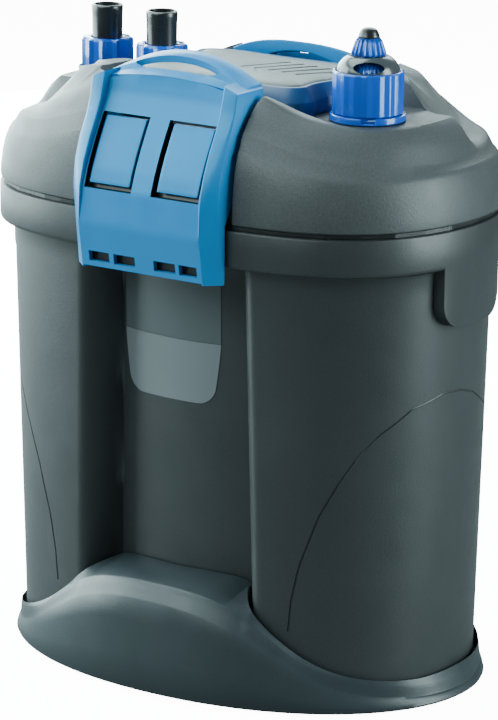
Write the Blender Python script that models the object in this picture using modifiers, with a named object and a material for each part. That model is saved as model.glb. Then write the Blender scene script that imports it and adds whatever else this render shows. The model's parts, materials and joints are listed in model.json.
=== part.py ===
"""Canister aquarium filter: clipped head, wave-topped foot, heater and pump.

Frame: origin under the middle of the foot, X along the long side, the front at -Y, +Z up.
All sizes below are millimetres; MM turns them into metres when a mesh is made.
"""
import math

import bmesh
import bpy
import numpy as np
from mathutils import Matrix, Vector

MM = 0.001
GAP = 0.3                       # clearance between neighbouring pieces

# --- driving dimensions ---------------------------------------------------------------
RIM_A, RIM_B = 142.6, 90.0      # half length and half depth of the collar
RIM_TOP, RIM_LOW = 259.5, 239.0
COLLAR_EXP = (3.9, 2.1)         # outline exponents of collar and head
FOOT_A, FOOT_B = 140.3, 97.7
FOOT_EXP = (2.1, 2.05)
FOOT_UNDER = 1.5                # the foot's underside stands on 1.5 mm pads
CAN_FLOOR = 8.3                 # underside of the container
WALL = 2.5
SHELF_Z = 311.0                 # flat shelves on the head
HILL_Z = 327.0                  # highest part of the head cover
HEATER_XY = (86.5, -20.0)
PORTS_XY = {"inlet": (-111.7, 22.0), "outlet": (-74.7, 22.0)}
PORT_BASE = 310.0               # under side of the union nuts, less 2 mm
HINGE_Y, HINGE_Z = 69.0, 314.0  # clip hinge axis, at -Y in front and +Y behind
CLIP_HALF = 46.0                # half width of a clip
NOTCH_HALF = 49.0               # half width of the head's notch for a clip
SLIT_HALF, SLIT_Y = 27.0, 65.5  # finger slit in a clip's grip
PUMP_X = -16.0                  # pump axis
GLAND_AT = (86.0, 83.6, 275.0)  # cable gland, on the rear of the skirt

# quadrant sampling shared by every oval: x stations of the face, then steps of the end
FACE_X = (0, 18, 34, 43, 47, 51, 56, 64, 76)
END_STEPS = 6

for old in list(bpy.data.objects):
    bpy.data.objects.remove(old, do_unlink=True)


def collection(name):
    made = bpy.data.collections.new(name)
    bpy.context.scene.collection.children.link(made)
    return made


PARTS = collection("canister_filter")
CUTTERS = collection("cutters")


# --- materials ------------------------------------------------------------------------
def material(name, colour, roughness, metallic=0.0):
    mat = bpy.data.materials.new(name)
    mat.use_nodes = True
    shader = mat.node_tree.nodes["Principled BSDF"]
    shader.inputs["Base Color"].default_value = (*colour, 1.0)
    shader.inputs["Roughness"].default_value = roughness
    shader.inputs["Metallic"].default_value = metallic
    return mat


GREY = ("grey_plastic", (0.075, 0.082, 0.083), 0.48, 0.0)
SLATE = ("slate_plastic", (0.040, 0.052, 0.058), 0.42, 0.0)
BLUE = ("blue_plastic", (0.016, 0.155, 0.420), 0.35, 0.0)
BLACK = ("black_plastic", (0.012, 0.012, 0.013), 0.40, 0.0)
RUBBER = ("black_rubber", (0.015, 0.015, 0.015), 0.75, 0.0)
BASKET = ("basket_plastic", (0.10, 0.11, 0.115), 0.50, 0.0)
FOAM_BLUE = ("foam_blue", (0.02, 0.10, 0.30), 0.95, 0.0)
FOAM_ORANGE = ("foam_orange", (0.60, 0.17, 0.02), 0.95, 0.0)
FOAM_WHITE = ("foam_white", (0.75, 0.76, 0.74), 0.95, 0.0)
CERAMIC = ("ceramic", (0.62, 0.50, 0.38), 0.80, 0.0)
STEEL = ("stainless_steel", (0.62, 0.62, 0.61), 0.28, 1.0)
GLASS = ("heater_glass", (0.55, 0.60, 0.60), 0.06, 0.0)
MAGNET = ("magnet", (0.05, 0.05, 0.055), 0.45, 0.3)


# --- mesh helpers ---------------------------------------------------------------------
def place(name, mesh, finish, origin, cutter=False):
    obj = bpy.data.objects.new(name, mesh)
    obj.location = Vector(origin) * MM
    if cutter:
        CUTTERS.objects.link(obj)
        obj.hide_render = True
        obj.display_type = "WIRE"
    else:
        PARTS.objects.link(obj)
        mesh.materials.append(material(name + "_" + finish[0], *finish[1:]))
    return obj


def finish_bmesh(name, bm, finish, origin, cutter, sharp=32.0):
    """Close the normals outwards, scale to metres about the origin and make the object."""
    bmesh.ops.recalc_face_normals(bm, faces=bm.faces)
    bmesh.ops.translate(bm, verts=bm.verts, vec=-Vector(origin))
    bmesh.ops.scale(bm, verts=bm.verts, vec=(MM, MM, MM))
    mesh = bpy.data.meshes.new(name)
    bm.to_mesh(mesh)
    bm.free()
    if not cutter:
        mesh.shade_smooth()
        mesh.set_sharp_from_angle(angle=math.radians(sharp))
    return place(name, mesh, finish, origin, cutter)


def loft(name, rings, finish=None, origin=(0, 0, 0), closed=False, cutter=False):
    """Skin over rings of equal length; capped at both ends, or closed into a tube wall."""
    bm = bmesh.new()
    loops = [[bm.verts.new(p) for p in ring] for ring in rings]
    count = len(loops[0])
    pairs = list(zip(loops, loops[1:]))
    if closed:
        pairs.append((loops[-1], loops[0]))
    for low, high in pairs:
        for i in range(count):
            j = (i + 1) % count
            bm.faces.new((low[i], low[j], high[j], high[i]))
    if not closed:
        bm.faces.new(loops[0][::-1])
        bm.faces.new(loops[-1])
    return finish_bmesh(name, bm, finish, origin, cutter)


def prism(name, outline, low, high, finish=None, axis="Z", origin=(0, 0, 0), cutter=False,
          bevel=0.0):
    """A flat outline pushed along an axis: (x, y) along Z, or (y, z) along X."""
    bm = bmesh.new()
    if axis == "Z":
        verts = [bm.verts.new((u, v, low)) for u, v in outline]
        push = (0, 0, high - low)
    else:
        verts = [bm.verts.new((low, u, v)) for u, v in outline]
        push = (high - low, 0, 0)
    face = bm.faces.new(verts)
    side = bmesh.ops.extrude_face_region(bm, geom=[face])
    moved = [g for g in side["geom"] if isinstance(g, bmesh.types.BMVert)]
    bmesh.ops.translate(bm, verts=moved, vec=push)
    if bevel:
        bmesh.ops.recalc_face_normals(bm, faces=bm.faces)
        bmesh.ops.bevel(bm, geom=bm.edges[:], offset=bevel, segments=1, affect="EDGES")
    return finish_bmesh(name, bm, finish, origin, cutter)


def block(name, low, high, finish=None, origin=(0, 0, 0), cutter=False, bevel=0.0, turn=0.0):
    """A box between two corners, turned about its own vertical axis."""
    bm = bmesh.new()
    bmesh.ops.create_cube(bm, size=1.0)
    size = [h - l for l, h in zip(low, high)]
    middle = [(h + l) / 2 for l, h in zip(low, high)]
    bmesh.ops.scale(bm, verts=bm.verts, vec=size)
    if bevel:
        bmesh.ops.bevel(bm, geom=bm.edges[:], offset=bevel, segments=1, affect="EDGES")
    bmesh.ops.rotate(bm, verts=bm.verts, matrix=Matrix.Rotation(turn, 3, "Z"))
    bmesh.ops.translate(bm, verts=bm.verts, vec=middle)
    return finish_bmesh(name, bm, finish, origin, cutter)


def lathe(name, profile, axis_xy, finish=None, steps=32, cutter=False, base=0.0):
    """Turn a profile of (radius, z), which runs down its outer side, about a vertical axis."""
    mesh = bpy.data.meshes.new(name)
    verts = [(r * MM, 0.0, (z - base) * MM) for r, z in profile]
    edges = [(i, i + 1) for i in range(len(verts) - 1)]
    if profile[0][0] > 0:
        edges.append((len(verts) - 1, 0))
    mesh.from_pydata(verts, edges, [])
    obj = place(name, mesh, finish, (*axis_xy, base), cutter)
    screw = obj.modifiers.new("turn", "SCREW")
    screw.axis = "Z"
    screw.steps = steps
    screw.render_steps = steps
    screw.use_merge_vertices = True
    screw.merge_threshold = 0.00001
    screw.use_smooth_shade = True
    return obj


def rod(name, a, b, radius, finish=None, sides=16, origin=(0, 0, 0), cutter=False):
    """A round bar between two points."""
    bm = bmesh.new()
    a, b = Vector(a), Vector(b)
    bmesh.ops.create_cone(bm, cap_ends=True, segments=sides, radius1=radius, radius2=radius,
                          depth=(b - a).length)
    turn = (b - a).to_track_quat("Z", "Y").to_matrix()
    bmesh.ops.rotate(bm, verts=bm.verts, matrix=turn)
    bmesh.ops.translate(bm, verts=bm.verts, vec=(a + b) / 2)
    return finish_bmesh(name, bm, finish, origin, cutter)


def boolean(obj, cutter, operation="DIFFERENCE"):
    mod = obj.modifiers.new(cutter.name, "BOOLEAN")
    mod.object = cutter
    mod.operation = operation
    mod.solver = "EXACT"


def cut(obj, *cutters):
    for cutter in cutters:
        boolean(obj, cutter)


# --- outlines -------------------------------------------------------------------------
def quadrant(a, b, n, m):
    """First-quadrant points of |x/a|^n + |y/b|^m = 1, from the face's middle to the end."""
    scale = a / RIM_A
    points = []
    for x in FACE_X:
        u = x * scale
        points.append((u, b * (1 - (u / a) ** n) ** (1 / m)))
    start = math.acos((points[-1][0] / a) ** (n / 2))
    for i in range(1, END_STEPS + 1):
        t = start * (1 - i / END_STEPS)
        points.append((a * math.cos(t) ** (2 / n), b * math.sin(t) ** (2 / m)))
    return points


def around(quarter):
    """Mirror a quadrant into a closed outline, without doubling the shared points."""
    front = [(x, -y) for x, y in quarter]
    right = [(x, y) for x, y in quarter[-2::-1]]
    half = front + right
    other = [(-x, -y) for x, y in half[1:-1]]
    return half + other


def oval(a, b, exps):
    return around(quadrant(a, b, *exps))


def lobed(z, grow=0.0):
    """Container outline at height z: two round lobes and a slack convex panel between."""
    share = (z - CAN_FLOOR) / (RIM_LOW - CAN_FLOOR)
    a = 131.0 + 5.5 * share
    b = 78.0 + 4.0 * share
    panel = 63.0 + 3.0 * share
    inner = 45.5 - 5.0 * share
    points = []
    for x, y in quadrant(a, b, 3.3, 2.3):
        crown = panel - 8.5 * (x / 47.0) ** 2
        blend = min(1.0, max(0.0, (x - inner) / 15.0))
        blend = math.sin(blend * math.pi / 2) ** 0.8
        points.append((x, min(y, crown * (1 - blend) + y * blend) if x < 70 else y))
    return inset(around(points), -grow) if grow else around(points)


def inset(outline, distance):
    """Move each point inwards along the mean normal of its two edges."""
    moved = []
    count = len(outline)
    for i in range(count):
        p = Vector(outline[i])
        before = (p - Vector(outline[i - 1])).normalized()
        after = (Vector(outline[(i + 1) % count]) - p).normalized()
        along = (before + after).normalized()
        normal = Vector((-along.y, along.x))
        slant = max(0.6, normal.dot(Vector((-before.y, before.x))))
        moved.append(tuple(p + normal * distance / slant))
    return moved


def at_height(outline, z):
    """Give an outline its height: a number, or a rule of (x, y)."""
    rule = z if callable(z) else (lambda x, y: z)
    return [(x, y, rule(x, y)) for x, y in outline]


def wave(heights, stations):
    """A height rule that is even in x and read between a few stations."""
    return lambda x, y: float(np.interp(abs(x), stations, heights))


# --- foot and container ---------------------------------------------------------------
CREST = wave((52.6, 52.0, 49.5, 45.0, 31.5, 22.0, 15.4, 9.7, 7.0),
             (0, 18, 33, 47, 71, 87, 101, 120, 138))
BAND = wave((61.0, 60.2, 57.5, 52.5, 39.8, 30.0, 23.4, 15.6, 13.5),
            (0, 20, 36, 50, 70, 83, 97, 122, 131))
TOP = wave((65.5, 65.0, 63.0, 58.0, 44.0, 32.0, 25.0, 18.5, 16.5),
           (0, 24, 38, 50, 66, 83, 97, 120, 131))


def foot_oval(twins, shrink_x, shrink_y):
    """Foot outline, a point for each twin: straight out beside the panels, radially at the ends."""
    a, b = FOOT_A - shrink_x, FOOT_B - shrink_y
    m, n = FOOT_EXP
    points = []
    for x, y in twins:
        low, high = 0.0, 4.0
        for _ in range(40):
            middle = (low + high) / 2
            reach = abs(x * middle / a) ** m + abs(y * middle / b) ** n
            low, high = (middle, high) if reach < 1 else (low, middle)
        share = min(1.0, max(0.0, (abs(x) - 66.0) / 28.0))
        if share == 1.0:
            points.append((x * low, y * low))
            continue
        across = x * (1 + (low - 1) * share)
        out = b * (1 - abs(across / a) ** m) ** (1 / n)
        points.append((across, math.copysign(out, y)))
    return points


def toward(outline, target, distance, share):
    """Move each point the given distance towards its twin, but at most that share of the way."""
    moved = []
    for p, q in zip(outline, target):
        gap = Vector(q) - Vector(p)
        step = min(distance, share * gap.length) / max(gap.length, 1e-6)
        moved.append(tuple(Vector(p) + gap * step))
    return moved


def make_foot():
    socket = lobed(66.0, grow=1.6)
    crest = foot_oval(socket, 2.3, 2.2)
    rings = [
        at_height(foot_oval(socket, 1.0, 1.0), FOOT_UNDER),
        at_height(foot_oval(socket, 0.0, 0.0), FOOT_UNDER + 1.5),
        at_height(crest, CREST),
        at_height(toward(crest, socket, 6.3, 0.5), BAND),
        at_height(socket, TOP),
        at_height(socket, CAN_FLOOR - GAP),
    ]
    loft("base_foot", rings, SLATE)


def make_foot_pads():
    corners = {"front_left": (-78, -62), "front_right": (78, -62),
               "rear_left": (-78, 62), "rear_right": (78, 62)}
    for where, spot in corners.items():
        profile = [(0, FOOT_UNDER - GAP / 3), (8, FOOT_UNDER - GAP / 3), (8, 0.3), (7.6, 0), (0, 0)]
        lathe("foot_pad_" + where, profile, spot, RUBBER, steps=12)


def make_container():
    neck = RIM_LOW - 0.8
    rings = [
        at_height(inset(lobed(CAN_FLOOR), 1.2), CAN_FLOOR),
        at_height(lobed(CAN_FLOOR + 1.2), CAN_FLOOR + 1.2),
        at_height(lobed(120), 120),
        at_height(lobed(neck), neck),
        at_height(oval(RIM_A - 1.6, RIM_B - 1.6, COLLAR_EXP), RIM_LOW),
        at_height(oval(RIM_A, RIM_B, COLLAR_EXP), RIM_LOW + 1.8),
        at_height(oval(RIM_A, RIM_B, COLLAR_EXP), RIM_TOP - 0.8),
        at_height(oval(RIM_A - 0.8, RIM_B - 0.8, COLLAR_EXP), RIM_TOP),
        at_height(oval(RIM_A - 5.5, RIM_B - 5.5, COLLAR_EXP), RIM_TOP),
        at_height(oval(RIM_A - 5.5, RIM_B - 5.5, COLLAR_EXP), RIM_LOW + 3.5),
        at_height(inset(lobed(neck), WALL), neck - 1.5),
        at_height(inset(lobed(120), WALL), 120),
        at_height(inset(lobed(CAN_FLOOR), WALL), CAN_FLOOR + WALL),
    ]
    body = loft("container", rings, GREY)
    for side in (1, -1):
        boolean(body, collar_tab(side), "UNION")


def collar_tab(side):
    """The rounded lug that hangs from the collar at each end."""
    half, low, radius = 27.0, 207.5, 13.0
    outline = [(-half, RIM_LOW + 6.0)]
    for corner in (-1, 1):
        for step in range(5):
            angle = math.radians(180 + 22.5 * step) if corner < 0 else math.radians(270 + 22.5 * step)
            outline.append((corner * (half - radius) + radius * math.cos(angle),
                            low + radius + radius * math.sin(angle)))
    outline.append((half, RIM_LOW + 6.0))
    ends = sorted((side * 133.5, side * 148.0))
    name = "collar_tab_" + ("right" if side > 0 else "left")
    slab = prism(name, outline, *ends, axis="X", cutter=True)
    trim = loft(name + "_trim", [at_height(oval(RIM_A - 0.1, RIM_B - 0.1, COLLAR_EXP), z)
                                 for z in (200.0, 250.0)], cutter=True)
    boolean(slab, trim, "INTERSECT")
    return slab


# --- media ----------------------------------------------------------------------------
BASKET_X = (-98.0, 62.0)
BASKET_Y = 51.0


def make_basket(name, low, high):
    tray = block(name, (BASKET_X[0], -BASKET_Y, low), (BASKET_X[1], BASKET_Y, high), BASKET)
    hollow = block(name + "_hollow", (BASKET_X[0] + 2, -BASKET_Y + 2, low + 2.5),
                   (BASKET_X[1] - 2, BASKET_Y - 2, high + 10), cutter=True)
    cut(tray, hollow)
    for i in range(6):
        x = BASKET_X[0] + 20 + i * 24
        slot = block(f"{name}_slot_{i}", (x, -40, low - 5), (x + 6, 40, low + 5), cutter=True)
        cut(tray, slot)


def make_media():
    make_basket("media_basket_lower", 12.0, 86.0)
    make_basket("media_basket_upper", 86.6, 162.0)
    layers = (("foam_coarse", 14.8, 49.0, FOAM_BLUE), ("foam_medium", 49.4, 84.0, FOAM_ORANGE),
              ("ceramic_media", 89.5, 130.0, CERAMIC), ("foam_fine", 130.4, 158.0, FOAM_WHITE))
    for name, low, high, finish in layers:
        block(name, (BASKET_X[0] + 3, -BASKET_Y + 3, low), (BASKET_X[1] - 3, BASKET_Y - 3, high),
              finish, bevel=2.0)


# --- head -----------------------------------------------------------------------------
SKIRT_TOP = wave((302.5, 300.5, 295.3, 291.5, 289.6, 289.6), (0, 50, 70, 90, 107, 140))
BAND_TOP = wave((311.0, 308.8, 304.0, 299.0, 297.4, 296.3, 293.0), (0, 51, 68, 87, 98, 118, 133))
EDGE_SHELF = wave((327.0, 326.0, 316.0, 312.0, 311.0, 311.0), (0, 46, 73, 95, 112, 130))
EDGE_HILL = wave((326.0, 324.0, 316.0, 306.0, 299.0, 296.5), (0, 46, 73, 95, 112, 118))
HILL = wave((HILL_Z, HILL_Z, 311.0, 301.0), (0, 76, 95, 107))


def shelf_share(x, y):
    """1 on the two shelf corners (right front, left rear), 0 on the two hill corners."""
    v = -y if x > 0 else y
    t = min(1.0, max(0.0, (v + 24.0) / 10.0))
    return t * t * (3 - 2 * t)


def edge_height(x, y):
    share = shelf_share(x, y)
    return EDGE_SHELF(x, y) * share + EDGE_HILL(x, y) * (1 - share)


def crown_height(x, y):
    share = shelf_share(x, y)
    return max(EDGE_SHELF(x, y), 312.0) * share + HILL(x, y) * (1 - share)


def shelf_outline():
    half = [(49.5, -66.0), (49.5, -59.0), (73, -51.5), (95, -48.5), (126, -48.5), (126, 15),
            (84, 22), (62, 22), (62, 52), (49.5, 59), (49.5, 66)]
    return half + [(-x, -y) for x, y in half]


def notch(side):
    """The slot in the head that a clip lies in, front (-1) or rear (1)."""
    line = [(-84.5, 255), (-84.5, 268), (-79, 280), (-74.5, 303), (-62, 306), (-62, 345),
            (-130, 345), (-130, 255)]
    outline = [(-side * y, z) for y, z in line]
    name = "notch_" + ("rear" if side > 0 else "front")
    return prism(name, outline, -NOTCH_HALF, NOTCH_HALF, axis="X", cutter=True)


def make_head_cover():
    skirt_mid = lambda x, y: 262 + 0.55 * (SKIRT_TOP(x, y) - 262)
    inner_mid = lambda x, y: SKIRT_TOP(x, y) - 6
    rings = [
        at_height(oval(141.4, 88.8, COLLAR_EXP), 262.0),
        at_height(oval(142.3, 89.7, COLLAR_EXP), 263.5),
        at_height(oval(141.0, 88.4, COLLAR_EXP), skirt_mid),
        at_height(oval(136.5, 84.0, COLLAR_EXP), SKIRT_TOP),
        at_height(oval(132.0, 80.0, COLLAR_EXP), BAND_TOP),
        at_height(oval(118.0, 64.0, (4.5, 2.2)), edge_height),
        at_height(oval(107.0, 53.0, (4.0, 2.2)), crown_height),
        at_height(oval(76.0, 36.0, (3.0, 2.2)), HILL_Z),
    ]
    inside = [
        at_height(oval(104.0, 50.0, COLLAR_EXP), 306.0),
        at_height(oval(127.0, 74.0, COLLAR_EXP), 289.0),
        at_height(oval(132.5, 79.5, COLLAR_EXP), 284.0),
        at_height(oval(138.0, 85.5, COLLAR_EXP), 262.0 + GAP),
        at_height(oval(138.0, 85.5, COLLAR_EXP), 255.0),
    ]
    cover = loft("head_cover", rings, GREY)
    for port, spot in PORTS_XY.items():
        seat = rod(port + "_seat", (*spot, 286), (*spot, SHELF_Z + 0.5), 16.0, sides=24, cutter=True)
        boolean(cover, seat, "UNION")
    hollow = loft("head_hollow", inside, cutter=True)
    shelf = prism("shelf_cut", shelf_outline(), SHELF_Z, 350, cutter=True)
    # the hollow stops short of each notch, so the notch has a wall of its own
    for side in (-1, 1):
        keep = block(f"notch_wall_{side}", (-52, *sorted((side * 59.0, side * 95.0))[:1], 250),
                     (52, sorted((side * 59.0, side * 95.0))[1], 320), cutter=True)
        cut(hollow, keep)
    cut(cover, hollow, shelf, notch(-1), notch(1))
    x, y, z = GLAND_AT
    cut(cover, rod("gland_bore", (x, 60, z), (x, 100, z), 5.3, sides=12, cutter=True))
    heater = rod("heater_bore", (*HEATER_XY, 290), (*HEATER_XY, 330), 15.8, sides=32, cutter=True)
    cut(cover, heater)
    for port, spot in PORTS_XY.items():
        cut(cover, rod(port + "_bore", (*spot, 280), (*spot, 330), 12.0, sides=24, cutter=True))
    cut(cover, rod("stem_bore", (0, 0, 290), (0, 0, 330), 6.5, sides=20, cutter=True))
    for side in (-1, 1):
        y = side * HINGE_Y
        cut(cover, rod(f"pin_bore_{side}", (-53.5, y, HINGE_Z), (53.5, y, HINGE_Z), 2.3, sides=12,
                       cutter=True))
    return cover


def make_head_inside():
    plate = loft("head_bottom_plate", [
        at_height(oval(134.5, 82.0, COLLAR_EXP), 252.0),
        at_height(oval(134.5, 82.0, COLLAR_EXP), RIM_TOP + GAP),
        at_height(oval(140.6, 88.0, COLLAR_EXP), RIM_TOP + GAP),
        at_height(oval(140.6, 88.0, COLLAR_EXP), 262.0 - GAP),
    ], BLACK)
    cut(plate, rod("plate_heater_hole", (*HEATER_XY, 240), (*HEATER_XY, 270), 11.6, sides=24,
                   cutter=True))
    for port, spot in PORTS_XY.items():
        cut(plate, rod(f"plate_{port}_hole", (*spot, 240), (*spot, 270), 11.9, sides=24,
                       cutter=True))
    ring = [oval(136.6, 84.1, COLLAR_EXP), oval(134.9, 82.4, COLLAR_EXP)]
    loft("rim_seal", [at_height(ring[0], 253.0), at_height(ring[0], 257.5),
                      at_height(ring[1], 257.5), at_height(ring[1], 253.0)],
         RUBBER, closed=True)
    spot = (PUMP_X, 0)
    lathe("motor_housing", [(0, 251.6), (40, 251.6), (40, 247), (32, 246), (31, 205), (13, 205),
                            (13, 243), (0, 243)], spot, BLACK, steps=20)
    lathe("impeller_cover", [(31, 204.6), (31, 172), (10, 172), (10, 174.5), (28, 174.5),
                             (28, 204.6)], spot, BLACK, steps=20)
    for i in range(4):
        angle = math.radians(45 + 90 * i)
        x, y = PUMP_X + 36 * math.cos(angle), 36 * math.sin(angle)
        hole = rod(f"motor_screw_hole_{i}", (x, y, 240), (x, y, 258.5), 1.9, sides=12, cutter=True)
        cut(bpy.data.objects["motor_housing"], hole)
        cut(plate, hole)
        lathe(f"motor_screw_{i + 1}", [(0, 258), (1.6, 258), (1.6, 244.9), (3.2, 244.9),
                                       (3.2, 242.5), (0, 242.5)], (x, y), STEEL, steps=12)
    cut(plate, rod("plate_wire_hole", (40, 0, 240), (40, 0, 270), 5, cutter=True))


def make_pump_rotor():
    spot = (PUMP_X, 0)
    lathe("rotor_shaft", [(0, 242), (1.5, 242), (1.5, 181), (0, 181)], spot, STEEL, steps=12,
          base=200)
    lathe("rotor_magnet", [(11.5, 240), (11.5, 207), (1.9, 207), (1.9, 240)], spot, MAGNET,
          steps=24, base=200)
    hub = lathe("impeller", [(9, 205), (24, 203.5), (24, 201.5), (7, 201.5), (7, 183), (1.9, 183),
                             (1.9, 205)], spot, BLUE, steps=24, base=200)
    for i in range(6):
        angle = math.radians(60 * i)
        middle = Vector((PUMP_X + 14 * math.cos(angle), 14 * math.sin(angle), 194))
        blade = block(f"blade_{i}", middle - Vector((9, 1.1, 8)), middle + Vector((9, 1.1, 8)),
                      cutter=True, turn=angle)
        boolean(hub, blade, "UNION")


def fluted(radius, depth, flutes, per=4):
    """A round outline with shallow scallops, as on a hand nut."""
    points = []
    for i in range(flutes * per):
        angle = 2 * math.pi * i / (flutes * per)
        r = radius - depth * (1 - abs(math.cos(flutes * angle / 2))) ** 1.0
        points.append((r * math.cos(angle), r * math.sin(angle)))
    return points


def shrink(outline, share):
    return [(x * share, y * share) for x, y in outline]


def shift(outline, spot):
    return [(x + spot[0], y + spot[1]) for x, y in outline]


def circle(radius, count, spot=(0, 0)):
    return [(spot[0] + radius * math.cos(2 * math.pi * i / count),
             spot[1] + radius * math.sin(2 * math.pi * i / count)) for i in range(count)]


def make_ports():
    for port, spot in PORTS_XY.items():
        lathe(port + "_socket", [(11.5, 318.2), (11.5, 245), (8.6, 245), (8.6, 318.2)], spot, BLACK,
              steps=16)
        lathe(port + "_o_ring", [(10.8, 320), (10.8, 318.5), (8.9, 318.5), (8.9, 320)], spot,
              RUBBER, steps=16)
        lathe(port + "_nozzle", [(8.2, 346.2), (8.7, 345.4), (8.7, 340), (8.3, 338.5), (8.3, 323.3),
                                 (11.4, 323.3), (11.4, 320.4), (6.9, 320.4), (6.9, 345.4),
                                 (7.4, 346.2)], spot, BLACK, steps=16)
        count = 11 * 2
        outer = shift(fluted(14.5, 1.3, 11, per=2), spot)
        bore, mouth = circle(12.1, count, spot), circle(9.0, count, spot)
        loft("union_nut_" + port, [
            at_height(outer, PORT_BASE + 2.0), at_height(outer, 327.4),
            at_height(inset(outer, 0.6), 328.0), at_height(mouth, 328.0), at_height(mouth, 323.7), at_height(bore, 323.7),
            at_height(bore, PORT_BASE + 2.0)], BLUE, origin=(*spot, 320), closed=True)
    spot = PORTS_XY["inlet"]
    lathe("intake_tube", [(7.5, 244.6), (7.5, 30), (5.8, 30), (5.8, 244.6)], spot, BLACK, steps=12)


def make_heater():
    spot = HEATER_XY
    flange = lathe("heater_flange", [(20, 314.6), (20, 311.4), (14.4, 311.4), (14.4, 315),
                                     (19.6, 315)], spot, BLUE, steps=24)
    notch_cut = block("flange_notch", (spot[0] - 3.5, spot[1] - 24, 312.2),
                      (spot[0] + 3.5, spot[1] - 17, 318), cutter=True)
    cut(flange, notch_cut)
    count = 18 * 2
    outer = shift(fluted(18.8, 0.45, 18, per=2), spot)
    bore = circle(16.9, count, spot)
    loft("heater_nut", [
        at_height(outer, 315.3), at_height(outer, 336.6), at_height(inset(outer, 0.7), 337.3),
        at_height(bore, 337.3), at_height(bore, 315.3)], BLUE, origin=(*spot, 320), closed=True)
    cone = lathe("heater_cone", [(10.3, 345), (12.6, 343.8), (14.8, 341.2), (16.3, 337.8),
                                 (16.5, 336), (16.5, 315.3), (14.6, 315.3), (14.6, 336.5),
                                 (12.6, 340.2), (9.6, 342.8), (5.0, 342.8), (5.0, 345)], spot,
                 GREY, steps=24)
    window = block("dial_window", (spot[0] - 8, spot[1] - 20, 337.9),
                   (spot[0] + 8, spot[1] - 6, 343.4), cutter=True, bevel=2.0)
    cut(cone, window)
    lathe("heater_dial", [(8.8, 342.2), (11.6, 340), (12.6, 337), (12.6, 330), (4.9, 330),
                          (4.9, 342.2)], spot, BLUE, steps=20, base=340)
    knob = fluted(9.1, 0.8, 12, per=2)
    top = fluted(7.0, 0.6, 12, per=2)
    stem = circle(4.5, 24, spot)
    shaft = circle(3.0, 24, spot)
    loft("heater_knob", [
        at_height(shaft, 335.0), at_height(stem, 335.0), at_height(stem, 345.3),
        at_height(shift(knob, spot), 345.3), at_height(shift(knob, spot), 346.5),
        at_height(shift(top, spot), 353.6), at_height(circle(5.9, 24, spot), 354.2),
        at_height(shaft, 354.2)], BLUE, origin=(*spot, 340), closed=True)
    lathe("heater_tip", [(0, 359.4), (2.2, 359.0), (4.2, 357.6), (5.6, 355.2), (5.7, 354.5),
                         (2.7, 354.5), (2.7, 336), (0, 336)], spot, BLACK, steps=16, base=340)
    lathe("heater_glass_tube", [(0, 47.4), (7, 49.2), (10, 54.5), (10, 314), (11.2, 314),
                                (11.2, 54), (7.8, 48), (0, 46)], spot, GLASS, steps=16)
    lathe("heater_core", [(0, 300), (8.5, 300), (8.5, 60), (0, 60)], spot, CERAMIC, steps=12)
    guard = lathe("heater_guard", [(15.4, 251.5), (15.4, 44), (13.2, 40), (3, 40), (3, 41.8),
                                   (12, 41.8), (13.6, 45), (13.6, 251.5)], spot, BLACK, steps=16)
    for i in range(3):
        angle = math.radians(60 * i + 30)
        for low in (60, 155):
            slot = block(f"guard_slot_{i}_{low}", (spot[0] - 20, spot[1] - 3, low),
                         (spot[0] + 20, spot[1] + 3, low + 80), cutter=True, turn=angle)
            cut(guard, slot)


def make_gland():
    """Cable gland in the rear right of the head skirt; it points straight back."""
    profile = [(2.6, 14), (4.2, 14), (5.6, 2), (5.6, 0), (5.0, 0), (5.0, -9), (2.6, -9)]
    gland = lathe("cable_gland", profile, (0, 0), RUBBER, steps=12)
    gland.location = Vector(GLAND_AT) * MM
    gland.rotation_euler = (math.radians(-90), 0, 0)


# --- priming button -------------------------------------------------------------------
def island(distance=0.0, count=72):
    """Outline of the blue surround: a soft rectangle with a bite beside heater and hoses."""
    bites = [(HEATER_XY[0], HEATER_XY[1], 29.0), (-HEATER_XY[0], -HEATER_XY[1], 29.0)]
    points = []
    for i in range(count):
        angle = 2 * math.pi * (i + 0.5) / count
        c, s = math.cos(angle), math.sin(angle)
        r = 1 / ((abs(c) / 60.0) ** 7 + (abs(s) / 44.0) ** 7) ** (1 / 7)
        for bx, by, br in bites:
            along = bx * c + by * s
            off = abs(bx * s - by * c)
            if along > 0 and off < br:
                r = min(r, along - math.sqrt(br * br - off * off))
        points.append((r * c, r * s))
    return inset(points, distance) if distance else points


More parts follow.
